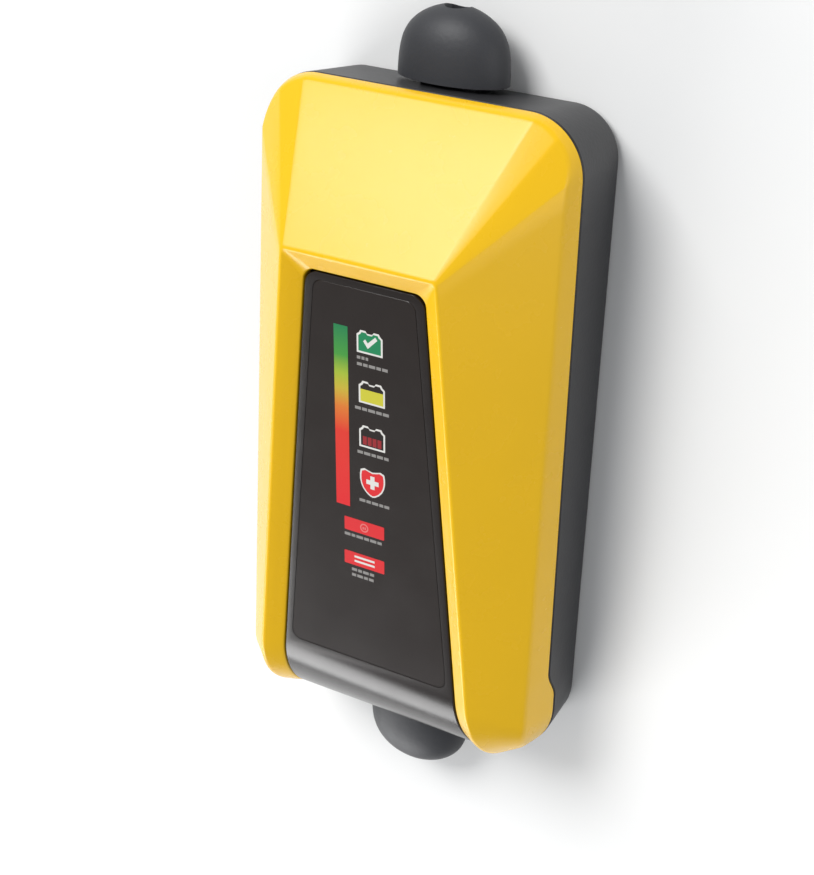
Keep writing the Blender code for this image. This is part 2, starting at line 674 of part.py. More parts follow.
def make_light_guide(plane, ceiling):
    clear = material("clear_acrylic", (0.85, 0.88, 0.88), 0.05)
    middle, span = light_bar_span()
    top = ceiling - GAP
    size = (LIGHT_BAR_WIDTH, span + LIGHT_BAR_SPARE, LIGHT_BAR_THICKNESS)
    guide = box("light_guide", size, (LIGHT_COLUMN, middle, top - size[2] / 2), clear, plane)
    tip = -OVERLAY_THICKNESS - 1.5 * GAP
    for i, (x, y) in enumerate(light_places()):
        profile = [(LIGHT_POST_RADIUS, top - size[2] / 2), (LIGHT_POST_RADIUS, tip)]
        unite(guide, turned(f"light_post_{i}", profile, (x, y, 0), parent=plane, steps=12))
    return top - size[2]


def make_display_board(plane, ceiling):
    """The small board behind the display, with a light under each post and a header down to the main board."""
    green = material("board_green", (0.02, 0.16, 0.06), 0.4)
    lens = material("led_epoxy", (0.85, 0.82, 0.62), 0.3)
    led_top = ceiling - GAP
    for i, (x, y) in enumerate(light_places(), 1):
        box(f"status_led_{i}", LED_SIZE, (x, y, led_top - LED_SIZE[2] / 2), lens, plane)
    board_top = led_top - LED_SIZE[2] - GAP
    middle, span = light_bar_span()
    size = (DISPLAY_BOARD_WIDTH, span + DISPLAY_BOARD_SPARE, BOARD_THICKNESS)
    box("display_board", size, (0, middle, board_top - size[2] / 2), green, plane)
    return board_top - size[2]


def make_link_header(plane, ceiling):
    black = material("header_black", (0.02, 0.02, 0.02), 0.5)
    middle, span = light_bar_span()
    x, y = -DISPLAY_BOARD_WIDTH / 2 + LINK_FROM_EDGE[0], middle - span / 2 + LINK_FROM_EDGE[1]
    under_board = plane.location[2] + y * math.sin(SLOPE_ANGLE) + ceiling
    low, high = BOARD_TOP + GAP, under_board - 2 * GAP
    box("link_header", (*LINK_SIZE, high - low), (x, y, (low + high) / 2), black)


# ---- Cord glands ----
def gland_wall_inside():
    return HALF_LENGTH - CASE_WALL - CASE_DRAFT * 0.5


def make_gland(name, side):
    """A rubber gland: a domed nose outside the end wall, a neck through it and a flange inside it."""
    rubber = material("gland_rubber", (0.035, 0.036, 0.038), 0.6)
    face = HALF_LENGTH + GAP
    rings = []
    steps = 24
    for angle in GLAND_TURNS:
        share, reach = math.cos(math.radians(angle)), math.sin(math.radians(angle))
        ring = []
        for step in range(steps):
            turn = 2 * math.pi * step / steps
            x = GLAND_HALF_WIDTH * share * math.cos(turn)
            z = GLAND_HEIGHT + GLAND_HALF_HEIGHT * share * math.sin(turn)
            ring.append((x, side * (face + GLAND_REACH * reach), z))
        rings.append(ring)
    gland = loft(name, rings, rubber)
    inside = gland_wall_inside() - GAP - FLANGE_SIZE[1]
    neck_start, neck_end = inside + NECK_OVERLAP[0], face + NECK_OVERLAP[1]
    neck = (NECK_SIZE[0], neck_end - neck_start, NECK_SIZE[1])
    unite(gland, box(f"{name}_neck", neck, (0, side * (neck_start + neck_end) / 2, NECK_HEIGHT)))
    flange_place = (0, side * (inside + FLANGE_SIZE[1] / 2), CASE_FLOOR + GAP + FLANGE_SIZE[2] / 2)
    unite(gland, box(f"{name}_flange", FLANGE_SIZE, flange_place))
    ends = (inside - OVERCUT, face + GLAND_REACH + OVERCUT)
    bore = [(CORD_HOLE_RADIUS, side * end) for end in ends]
    cut(gland, turned(f"{name}_bore", bore, (0, 0, NECK_HEIGHT), axis="Y", steps=12))
    return gland


def clamp_y():
    return gland_wall_inside() - CLAMP_FROM_WALL


def clamp_screw_places():
    return [(sx * CLAMP_SPACING / 2, sy * clamp_y()) for sy in (1, -1) for sx in (-1, 1)]


def make_cord_clamp(name, side):
    nylon = material("clamp_nylon", (0.70, 0.69, 0.64), 0.5)
    clamp = box(name, CLAMP_SIZE, (0, side * clamp_y(), CLAMP_HEIGHT + CLAMP_SIZE[2] / 2), nylon)
    groove = [(CLAMP_GROOVE_RADIUS, side * clamp_y() + end * CLAMP_SIZE[1]) for end in (-1, 1)]
    cut(clamp, turned(f"{name}_groove", groove, (0, 0, CLAMP_HEIGHT - CLAMP_GROOVE_DROP), axis="Y", steps=12))
    hole = BOARD_SCREW_RADIUS + GAP
    for sx in (-1, 1):
        profile = [(hole, CLAMP_HEIGHT - OVERCUT), (hole, CLAMP_HEIGHT + CLAMP_SIZE[2] + OVERCUT)]
        place = (sx * CLAMP_SPACING / 2, side * clamp_y(), 0)
        cut(clamp, turned(f"{name}_hole_{sx}", profile, place, steps=12))
    return clamp


def small_screw(name, x, y, seat, length):
    steel = material("small_screw_steel", (0.6, 0.6, 0.6), 0.35, 1.0)
    head, height = BOARD_SCREW_HEAD
    low = seat + GAP
    profile = [
        (BOARD_SCREW_RADIUS * 0.5, low - length),
        (BOARD_SCREW_RADIUS, low - length + BOARD_SCREW_POINT),
        (BOARD_SCREW_RADIUS, low),
        (head, low),
        (head, low + height * 0.5),
        (head * 0.6, low + height),
    ]
    turned(name, profile, (x, y, 0), steel, steps=12)


# ---- Circuit board ----
def board_screw_places():
    return [(sx * BOARD_POST_X, sy * BOARD_POST_Y) for sy in (1, -1) for sx in (-1, 1)]


def board_outline():
    """The main board's edge: a rectangle with its corners cut back round the case's screw pillars."""
    notch_x = PILLAR_X - PILLAR_RADIUS - BOARD_NOTCH
    notch_y = PILLAR_Y - PILLAR_RADIUS - BOARD_NOTCH
    x, y = BOARD_HALF_WIDTH, BOARD_HALF_LENGTH
    quarter = [(x, 0), (x, notch_y), (notch_x, notch_y), (notch_x, y)]
    upper = quarter + [(-px, py) for px, py in reversed(quarter)]
    return upper + [(px, -py) for px, py in reversed(upper[1:-1])]


def make_circuit_board():
    green = material("board_green", (0.02, 0.16, 0.06), 0.4)
    board = plate_between("circuit_board", board_outline(), BOARD_HEIGHT, BOARD_TOP, green)
    hole = BOARD_SCREW_RADIUS + GAP
    for i, (x, y) in enumerate(board_screw_places()):
        profile = [(hole, BOARD_HEIGHT - OVERCUT), (hole, BOARD_TOP + OVERCUT)]
        cut(board, turned(f"board_hole_{i}", profile, (x, y, 0), steps=12))
    for i, (x, y) in enumerate(board_screw_places(), 1):
        small_screw(f"board_screw_{i}", x, y, BOARD_TOP, BOARD_SCREW_LENGTH)


def make_insulation_sheet():
    sheet = material("fish_paper", (0.42, 0.36, 0.24), 0.8)
    width = 2 * (BOARD_POST_X - BOARD_POST_RADIUS - SHEET_SIDE_CLEARANCE)
    length = 2 * (clamp_y() - CLAMP_POST_RADIUS - SHEET_END_CLEARANCE)
    low = CASE_FLOOR + SHEET_ABOVE_FLOOR
    outline = rounded_rectangle(width, length, SHEET_CORNER)
    plate_between("insulation_sheet", outline, low, low + SHEET_THICKNESS, sheet)


def on_board(name, size, place, finish):
    return box(name, size, (*place, BOARD_TOP + GAP + size[2] / 2), finish)


def can(name, size, place, finish):
    """A round capacitor: a can with a rolled edge, standing on the board."""
    radius, height = size
    low = BOARD_TOP + GAP
    shares = ((0.92, 0), (1, 0.0006), (1, 0.0016), (0.95, 0.0021), (1, 0.0026), (1, height - 0.0006), (0.9, height))
    profile = [(radius * share, low + up) for share, up in shares]
    turned(name, profile, (*place, 0), finish, steps=20)


def disc(name, size, place, finish):
    """A disc standing on its edge, with a rounded rim."""
    radius, thickness = size
    half = thickness / 2
    profile = [(radius * 0.8, -half), (radius, -half * 0.4), (radius, half * 0.4), (radius * 0.8, half)]
    turned(name, profile, (*place, BOARD_TOP + GAP + radius + DISC_LIFT), finish, axis="Y", steps=16)


def heat_sink(name, x, y):
    """A folded aluminium plate: an upright wall with a foot that points outwards."""
    aluminium = material("heat_sink_aluminium", (0.72, 0.73, 0.74), 0.4, 1.0)
    side = math.copysign(1, x)
    length, height = HEAT_SINK_SIZE
    sheet, foot = HEAT_SINK_SHEET, HEAT_SINK_FOOT
    low = BOARD_TOP + GAP
    outline = [(0, 0), (foot, 0), (foot, sheet), (sheet, sheet), (sheet, height), (0, height)]
    rings = [[(x + side * px, place, low + pz) for px, pz in outline] for place in (y - length / 2, y + length / 2)]
    loft(name, rings, aluminium)


def power_package(name, x, y):
    """A flat power device against a heat sink's inner face: an upright body with a thin metal tab above it."""
    black = material("chip_black", (0.02, 0.02, 0.022), 0.45)
    side = math.copysign(1, x)
    low, face = BOARD_TOP + GAP, x - side * GAP
    depth, height, (tab, top) = PACKAGE_DEPTH, PACKAGE_HEIGHT, PACKAGE_TAB
    body = [(0, 0), (depth, 0), (depth, height), (tab, height), (tab, top), (0, top)]
    rings = [
        [(face - side * px, place, low + pz) for px, pz in body]
        for place in (y - PACKAGE_HALF_WIDTH, y + PACKAGE_HALF_WIDTH)
    ]
    loft(name, rings, black)


def make_transformer():
    """A ferrite core with two windows, and a taped winding round its middle leg."""
    ferrite = material("ferrite", (0.05, 0.05, 0.055), 0.6)
    tape = material("winding_tape", (0.80, 0.62, 0.08), 0.4)
    x, y = TRANSFORMER_PLACE
    window_width = (CORE_SIZE[0] - 2 * CORE_LEG) / 2 - CORE_WINDOW_CLEARANCE
    window = (window_width, CORE_CUT, CORE_SIZE[2] - 2 * CORE_YOKE)
    core = on_board("transformer_core", CORE_SIZE, TRANSFORMER_PLACE, ferrite)
    middle = BOARD_TOP + GAP + CORE_SIZE[2] / 2
    for side in (-1, 1):
        place = (x + side * (CORE_LEG / 2 + window_width / 2), y, middle)
        cut(core, box(f"core_window_{side}", window, place))
    winding_size = (CORE_LEG + 2 * window_width - 2 * GAP, WINDING_LENGTH, window[2] - 2 * GAP)
    winding = box("transformer_winding", winding_size, (x, y, middle), tape)
    post = (CORE_LEG + 2 * GAP, CORE_SIZE[1] + 2 * GAP, winding_size[2] + 2 * OVERCUT)
    cut(winding, box("winding_hole", post, (x, y, middle)))


def make_choke():
    """A ring-shaped line filter choke lying on the board."""
    copper = material("choke_copper", (0.45, 0.16, 0.05), 0.35, 0.6)
    x, y = CHOKE_PLACE
    ring_steps, section_steps = 20, 8
    height = BOARD_TOP + GAP + CHOKE_THICK
    rings = []
    for step in range(ring_steps):
        turn = 2 * math.pi * step / ring_steps
        section = []
        for part in range(section_steps):
            angle = 2 * math.pi * (part + 0.5) / section_steps
            reach = CHOKE_RING + CHOKE_THICK * math.cos(angle)
            rise = height + CHOKE_THICK * math.sin(angle)
            section.append((x + reach * math.cos(turn), y + reach * math.sin(turn), rise))
        rings.append(section)
    loft("line_choke", rings, copper, cyclic=True)


def make_board_parts():
    black = material("chip_black", (0.02, 0.02, 0.022), 0.45)
    white = material("connector_white", (0.82, 0.81, 0.76), 0.45)
    blue = material("disc_blue", (0.03, 0.11, 0.38), 0.4)
    can_black = material("capacitor_sleeve", (0.03, 0.035, 0.06), 0.35)
    yellow = material("film_capacitor_yellow", (0.78, 0.58, 0.08), 0.5)
    ceramic = material("fuse_ceramic", (0.80, 0.78, 0.72), 0.5)
    ferrite = material("ferrite", (0.05, 0.05, 0.055), 0.6)
    on_board("mains_connector", CONNECTOR_SIZE, (0, CONNECTOR_Y), white)
    on_board("output_connector", CONNECTOR_SIZE, (0, -CONNECTOR_Y), white)
    fuse = [(FUSE_RADIUS, -FUSE_HALF_LENGTH), (FUSE_RADIUS, FUSE_HALF_LENGTH)]
    fuse_centre = (*FUSE_PLACE, BOARD_TOP + GAP + FUSE_RADIUS + FUSE_LIFT)
    turned("mains_fuse", fuse, fuse_centre, ceramic, axis="X", steps=12)
    disc("varistor", VARISTOR, VARISTOR_PLACE, blue)
    disc("y_capacitor", Y_CAPACITOR, Y_CAPACITOR_PLACE, blue)
    on_board("x_capacitor", X_CAPACITOR_SIZE, X_CAPACITOR_PLACE, yellow)
    on_board("bridge_rectifier", BRIDGE_SIZE, BRIDGE_PLACE, black)
    make_choke()
    can("bulk_capacitor", BULK_CAPACITOR, BULK_CAPACITOR_PLACE, can_black)
    make_transformer()
    heat_sink("transistor_heat_sink", *TRANSISTOR_SINK_PLACE)
    power_package("power_transistor", *TRANSISTOR_SINK_PLACE)
    on_board("optocoupler", OPTOCOUPLER_SIZE, OPTOCOUPLER_PLACE, black)
    heat_sink("diode_heat_sink", *DIODE_SINK_PLACE)
    power_package("output_diode", *DIODE_SINK_PLACE)
    for i, place in enumerate(OUTPUT_CAPACITOR_PLACES, 1):
        can(f"output_capacitor_{i}", OUTPUT_CAPACITOR, place, can_black)
    turned("output_inductor", INDUCTOR_PROFILE, (*INDUCTOR_PLACE, BOARD_TOP + GAP), ferrite, steps=16)
    on_board("controller_chip", CONTROLLER_SIZE, CONTROLLER_PLACE, black)
    on_board("output_transistor", OUTPUT_TRANSISTOR_SIZE, OUTPUT_TRANSISTOR_PLACE, black)


def build():
    clear_scene()
    make_front_cover()
    make_back_case()
    make_case_seal()
    make_case_screws()
    make_rating_label()
    plane = display_plane()
    bpy.context.view_layer.update()
    plate_floor = make_display(plane)
    guide_floor = make_light_guide(plane, plate_floor)
    board_floor = make_display_board(plane, guide_floor)
    make_link_header(plane, board_floor)
    for name, side in (("mains", 1), ("output", -1)):
        make_gland(f"{name}_gland", side)
        make_cord_clamp(f"{name}_cord_clamp", side)
    for i, (x, y) in enumerate(clamp_screw_places(), 1):
        small_screw(f"clamp_screw_{i}", x, y, CLAMP_HEIGHT + CLAMP_SIZE[2], CLAMP_SCREW_LENGTH)
    make_circuit_board()
    make_insulation_sheet()
    make_board_parts()


build()
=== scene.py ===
"""Looks of the battery charger: fine surfaces for its outer pieces and a finish for every piece."""
import math

import bpy
import numpy as np
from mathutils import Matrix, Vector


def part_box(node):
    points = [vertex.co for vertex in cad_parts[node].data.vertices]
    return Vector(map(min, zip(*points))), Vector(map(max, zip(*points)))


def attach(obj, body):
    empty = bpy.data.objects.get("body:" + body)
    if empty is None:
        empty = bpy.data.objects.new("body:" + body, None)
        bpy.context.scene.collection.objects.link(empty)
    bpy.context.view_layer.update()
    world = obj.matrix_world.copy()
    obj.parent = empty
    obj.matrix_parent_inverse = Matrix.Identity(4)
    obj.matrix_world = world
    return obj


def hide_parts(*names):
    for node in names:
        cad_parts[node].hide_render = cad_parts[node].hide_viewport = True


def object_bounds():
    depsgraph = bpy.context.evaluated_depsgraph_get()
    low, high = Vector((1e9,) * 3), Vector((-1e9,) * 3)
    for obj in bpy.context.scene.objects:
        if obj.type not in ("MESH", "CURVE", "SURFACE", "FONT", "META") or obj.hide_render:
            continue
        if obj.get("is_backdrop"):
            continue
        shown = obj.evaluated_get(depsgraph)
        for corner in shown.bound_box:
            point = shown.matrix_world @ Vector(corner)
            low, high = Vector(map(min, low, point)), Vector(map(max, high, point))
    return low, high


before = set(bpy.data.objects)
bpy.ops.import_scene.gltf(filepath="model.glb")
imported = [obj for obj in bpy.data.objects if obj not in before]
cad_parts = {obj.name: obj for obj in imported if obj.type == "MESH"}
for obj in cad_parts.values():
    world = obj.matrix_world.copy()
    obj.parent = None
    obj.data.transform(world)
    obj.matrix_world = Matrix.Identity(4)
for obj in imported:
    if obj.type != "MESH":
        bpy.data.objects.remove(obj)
cad_low, cad_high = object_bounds()

# ---- Back case ----
# A tub moulded in black plastic with a fine spark-eroded grain. It carries the screw pillars, the board's posts
# and the seal's groove, and its flat base has four counterbores and a shallow bed for the rating label.
case_low, case_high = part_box("back_case")
half_width = (case_high.x - case_low.x) / 2
half_length = (case_high.y - case_low.y) / 2
corner_top = 0.010
corner_low = 0.0108
case_wall = 0.0026
case_floor = 0.0025
case_draft = 0.0012
base_round = 0.0018
floor_round = 0.001
rim_edge = 0.0002
groove_outer = 0.0007
groove_inner = 0.0023
groove_depth = 0.0013
skirt_drop = 0.0028
skirt_start = -half_length + 0.0195
skirt_run = 0.006
parting_slope = 0.025
parting_middle = case_high.z - parting_slope * half_length
gap = 0.0003
cut_over = 0.001
step_share = 0.12


def parting(y):
    """Height of the parting line at y: a gentle straight slope, less a smooth step 3t^2 - 2t^3 at the output end."""
    t = np.clip((skirt_start - y) / skirt_run, 0, 1)
    return parting_middle + parting_slope * y - skirt_drop * t * t * (3 - 2 * t)


def arc(radius, centre, start, end, count):
    """Points on a circle about centre, from the start angle to the end angle in degrees."""
    angle = np.radians(np.linspace(start, end, count))
    return np.stack([centre[0] + radius * np.cos(angle), centre[1] + radius * np.sin(angle)], 1)


def side_shares(count):
    """Shares 0 to 1 along the straight side, closer together where the parting line steps down."""
    near = np.linspace(0, step_share, count // 2)
    return np.concatenate([near, np.linspace(step_share, 1, count - count // 2 + 1)[1:]])


def case_outline(inset, arc_count=25, side_count=28):
    """Closed plan of the case, moved in by inset: a rectangle with arcs for corners, larger at the output end."""
    low_centre = (half_width - corner_low, -half_length + corner_low)
    top_centre = (half_width - corner_top, half_length - corner_top)
    low = arc(corner_low - inset, low_centre, -90, 0, arc_count)
    top = arc(corner_top - inset, top_centre, 0, 90, arc_count)
    share = side_shares(side_count)[1:-1, None]
    side = low[-1] * (1 - share) + top[0] * share
    right = np.concatenate([low, side, top])
    return np.concatenate([right, right[::-1] * (-1, 1)])


def ring(outline, height):
    """A plan outline lifted to a height, or to a height for each of its points."""
    return np.column_stack([outline, np.full(len(outline), height)])


def grid_faces(rows, columns, close_rows=False):
    """Corner numbers of the quads between the rows of a grid whose columns run round a closed ring."""
    row = np.arange(rows if close_rows else rows - 1)[:, None]
    column = np.arange(columns)[None, :]
    following = (row + 1) % rows
    after = (column + 1) % columns
    corners = [row * columns + column, row * columns + after, following * columns + after, following * columns + column]
    return np.stack([np.broadcast_to(c, (len(row), columns)) for c in corners], -1).reshape(-1, 4)


def points_of(mesh):
    """A mesh's vertices as rows of X, Y and Z."""
    points = np.empty(len(mesh.vertices) * 3, np.float32)
    mesh.vertices.foreach_get("co", points)
    return points.reshape(-1, 3)


def piece_of(name, points, faces):
    """A closed mesh with its faces turned outwards: its signed volume, a sum of corner triple products, is positive."""
    mesh = bpy.data.meshes.new(name)
    mesh.from_pydata(points, [], faces)
    mesh.calc_loop_triangles()
    corners = np.empty(len(mesh.loop_triangles) * 3, np.int32)
    mesh.loop_triangles.foreach_get("vertices", corners)
    a, b, c = points_of(mesh)[corners.reshape(-1, 3)].transpose(1, 0, 2)
    if np.einsum("ij,ij->i", a, np.cross(b, c)).sum() < 0:
        mesh.flip_normals()
    made = bpy.data.objects.new(name, mesh)
    bpy.context.scene.collection.objects.link(made)
    return made


def shell(name, rings, close_rows=False):
    """A closed surface through rings of equally many points: quads between them, and a flat cap at each end."""
    rings = np.asarray(rings, float)
    rows, columns = rings.shape[:2]
    faces = [tuple(face) for face in grid_faces(rows, columns, close_rows)]
    if not close_rows:
        faces.append(tuple(range(columns))[::-1])
        faces.append(tuple(range(rows * columns - columns, rows * columns)))
    return piece_of(name, rings.reshape(-1, 3), faces)


def turned(name, profile, centre, axis="Z", count=48):
    """A turned body: each profile point (radius, place) becomes a circle of that radius about a line through centre."""
    radius, place = np.asarray(profile, float).T[:, :, None]
    angle = np.linspace(0, 2 * math.pi, count, endpoint=False)[None, :]
    across, up, along = radius * np.cos(angle), radius * np.sin(angle), place + 0 * angle
    order = {"X": (along, across, up), "Y": (across, along, up), "Z": (across, up, along)}[axis]
    return shell(name, np.stack(order, -1) + np.asarray(centre, float))


def rod(name, radius, start, end, centre, **how):
    """A plain round rod between two places along its axis."""
    return turned(name, [(radius, start), (radius, end)], centre, **how)


def block(name, low, high):
    """A plain box between two corners, used as a cutter or as stock."""
    x, y, z = zip(low, high)
    plan = np.array([(x[0], y[0]), (x[1], y[0]), (x[1], y[1]), (x[0], y[1])])
    return shell(name, [ring(plan, z[0]), ring(plan, z[1])])


def worked(target, joined=(), removed=()):
    """Joins and removes tools by Boolean, keeps the resulting mesh and deletes the tools."""
    for operation, tools in (("UNION", joined), ("DIFFERENCE", removed)):
        for tool in tools:
            step = target.modifiers.new(operation, "BOOLEAN")
            step.operation = operation
            step.object = tool
    bpy.context.view_layer.update()
    evaluated = target.evaluated_get(bpy.context.evaluated_depsgraph_get())
    mesh = bpy.data.meshes.new_from_object(evaluated)
    target.modifiers.clear()
    target.data = mesh
    for tool in (*joined, *removed):
        bpy.data.objects.remove(tool)
    return target


def placed(piece, finish, slot, *nodes, crease=32):
    """Finishes a piece: shading, material, the body that it rides on, and the CAD nodes that it stands for."""
    piece.data.materials.clear()
    piece.data.materials.append(finish)
    piece.data.shade_smooth()
    piece.data.set_sharp_from_angle(angle=math.radians(crease))
    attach(piece, "root")
    if nodes:
        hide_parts(*nodes)
    return piece


def add_node(tree, kind, inputs=None, **settings):
    """Adds a shader node with its settings. Each input that is named gets a link from an output, or a value."""
    node = tree.nodes.new("ShaderNode" + kind)
    for label, value in settings.items():
        setattr(node, label, value)
    for label, value in (inputs or {}).items():
        if isinstance(value, bpy.types.NodeSocket):
            tree.links.new(value, node.inputs[label])
        else:
            node.inputs[label].default_value = value
    return node


def moulded_surface_group():
    """Moulded surface: broad drift of tone, patchy gloss, and a fine grain as bump.

    Tone is 1 plus or minus Drift; Roughness is Gloss plus or minus Patch; Normal is bumped by Depth in metres.
    """
    group = bpy.data.node_groups.new("moulded_surface", "ShaderNodeTree")
    for label in ("Drift", "Gloss", "Patch", "Grain", "Depth"):
        group.interface.new_socket(label, in_out="INPUT", socket_type="NodeSocketFloat")
    for label, kind in (("Tone", "Float"), ("Roughness", "Float"), ("Normal", "Vector")):
        group.interface.new_socket(label, in_out="OUTPUT", socket_type="NodeSocket" + kind)
    entry, leave = group.nodes.new("NodeGroupInput"), group.nodes.new("NodeGroupOutput")
    place = add_node(group, "TexCoord").outputs["Object"]

    def noise(scale, detail):
        return add_node(group, "TexNoise", {"Vector": place, "Scale": scale, "Detail": detail}).outputs["Fac"]

    def spread(value, middle, by):
        ends = [add_node(group, "Math", {0: middle, 1: by}, operation=way).outputs[0] for way in ("SUBTRACT", "ADD")]
        return add_node(group, "MapRange", {"Value": value, "To Min": ends[0], "To Max": ends[1]}).outputs["Result"]

    fine = noise(entry.outputs["Grain"], 2.0)
    bump = add_node(group, "Bump", {"Height": fine, "Distance": entry.outputs["Depth"]})
    for label, value in (
        ("Tone", spread(noise(45.0, 3.0), 1.0, entry.outputs["Drift"])),
        ("Roughness", spread(noise(160.0, 4.0), entry.outputs["Gloss"], entry.outputs["Patch"])),
        ("Normal", bump.outputs["Normal"]),
    ):
        group.links.new(value, leave.inputs[label])
    return group


moulded_surface = moulded_surface_group()


def moulding(name, colour, gloss, drift=0.04, patch=0.03, grain=2500.0, depth=0.000006, **sockets):
    """A Principled material over the moulded surface group. Extra sockets are set by name as plain constants."""
    material = bpy.data.materials.new(name)
    material.use_nodes = True
    tree = material.node_tree
    shader = tree.nodes["Principled BSDF"]
    values = {"Drift": drift, "Gloss": gloss, "Patch": patch, "Grain": grain, "Depth": depth}
    surface = add_node(tree, "Group", values, node_tree=moulded_surface)
    toned = add_node(
        tree, "Mix", {"Factor": 1.0, "A": (*colour, 1.0), "B": surface.outputs["Tone"]},
        name="toned", data_type="RGBA", blend_type="MULTIPLY")
    tree.links.new(toned.outputs["Result"], shader.inputs["Base Color"])
    for label in ("Roughness", "Normal"):
        tree.links.new(surface.outputs[label], shader.inputs[label])
    for label, value in sockets.items():
        shader.inputs[label.replace("_", " ")].default_value = value
    return material


case_plastic = moulding("case_plastic", (0.018, 0.018, 0.020), 0.44, drift=0.10, grain=1500.0, depth=0.00003)


def middle_of(node):
    """The middle of a frame piece's box."""
    low, high = np.array(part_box(node))
    return (low + high) / 2


pillar_places, board_post_places, clamp_post_places = (
    [middle_of(f"{kind}_screw_{number}")[:2] for number in range(1, 5)] for kind in ("case", "board", "clamp"))
pillar_radius = 0.0037
pillar_top = 0.0085
counterbore_radius = 0.0027
counterbore_top = 0.0053
case_screw_bore = 0.0017
board_post_radius = 0.0030
clamp_post_radius = 0.0021
post_bore = 0.0014
post_foot = case_floor - 0.0005
board_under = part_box("circuit_board")[0].z
clamp_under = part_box("output_cord_clamp")[0].z
label_low, label_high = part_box("rating_label")
label_bed = 0.0008
label_bed_corner = 0.0022
neck_half_width = 0.0050
neck_half_height = 0.0026
neck_height = 0.0060
gland_hole_reach = (half_length - 0.006, half_length + 0.002)


def at_end(side, half_x, reach, bottom, top):
    """Opposite corners of a box about the middle line, between two distances out to the mains or the output end."""
    y = sorted(side * distance for distance in reach)
    return (-half_x, y[0], bottom), (half_x, y[1], top)


def make_back_case():
    """Rings from the base up the outer wall, over the groove at the rim and down the inner wall to the floor."""
    rings = []
    for turn in np.radians(np.linspace(0, 90, 9)):
        inset = case_draft + base_round * (1 - math.sin(turn))
        rings.append(ring(case_outline(inset), base_round * (1 - math.cos(turn))))
    for share in np.linspace(0, 1, 6)[1:]:
        outline = case_outline(case_draft * (1 - share))
        rings.append(ring(outline, base_round + (parting(outline[:, 1]) - rim_edge - base_round) * share))
    for inset, drop in (
        (rim_edge, 0.0), (groove_outer, 0.0), (groove_outer, groove_depth), (groove_inner, groove_depth),
        (groove_inner, 0.0), (case_wall, 0.0),
    ):
        outline = case_outline(inset)
        rings.append(ring(outline, parting(outline[:, 1]) - drop))
    rings.append(ring(case_outline(case_wall + case_draft * 0.45), case_floor + floor_round))
    rings.append(ring(case_outline(case_wall + case_draft * 0.5 + floor_round), case_floor))
    case = shell("back_case_moulding", rings)
    joined, removed = [], []
    for x, y in pillar_places:
        joined.append(rod("pillar", pillar_radius, post_foot, pillar_top, (x, y, 0)))
        bores = [(counterbore_radius, -cut_over), (counterbore_radius, counterbore_top),
                 (case_screw_bore, counterbore_top), (case_screw_bore, pillar_top + cut_over)]
        removed.append(turned("counterbore", bores, (x, y, 0)))
    for top, radius, places in (
        (board_under - gap, board_post_radius, board_post_places),
        (clamp_under - gap, clamp_post_radius, clamp_post_places),
    ):
        for x, y in places:
            joined.append(rod("post", radius, post_foot, top, (x, y, 0), count=24))
            removed.append(rod("bore", post_bore, case_floor, top + cut_over, (x, y, 0), count=24))
    hole_bottom, hole_top = neck_height - neck_half_height - gap, neck_height + neck_half_height + gap
    for side in (-1, 1):
        hole = at_end(side, neck_half_width + gap, gland_hole_reach, hole_bottom, hole_top)
        removed.append(block("gland_hole", *hole))
    bed = rounded_plan(label_high.x + gap, label_high.y + gap, label_bed_corner)
    removed.append(shell("label_bed", [ring(bed, -cut_over), ring(bed, label_bed)]))
    return worked(case, joined, removed)


def rounded_plan(half_x, half_y, radius, count=8):
    """A rectangle's plan with quarter-circle corners."""
    corners = ((1, -1, -90), (1, 1, 0), (-1, 1, 90), (-1, -1, 180))
    return np.concatenate([
        arc(radius, (sx * (half_x - radius), sy * (half_y - radius)), start, start + 90, count)
        for sx, sy, start in corners
    ])


placed(make_back_case(), case_plastic, "case_plastic", "back_case")

# ---- Cord glands ----
# Soft black rubber noses, one in each end wall. Each is moulded in one piece with the neck that fills the wall's hole
# and a flange inside the wall that stops it from being pulled out; the cord runs through its middle.
gland_rubber = moulding(
    "gland_rubber", (0.032, 0.033, 0.037), 0.52, drift=0.14, patch=0.08, grain=1300.0, depth=0.00003,
    Specular_IOR_Level=0.4)
cord_hole = 0.0022
cord_hole = 0.0022
cord_hole_chamfer = 0.0005
chamfer_places = (-0.0004, 0.0001)
flange_half_width = 0.007
flange_height = 0.0056
flange_thickness = 0.0018
neck_sunk = (0.0005, 0.002)
nose_turn = 82.0
nose_fullness = 0.10


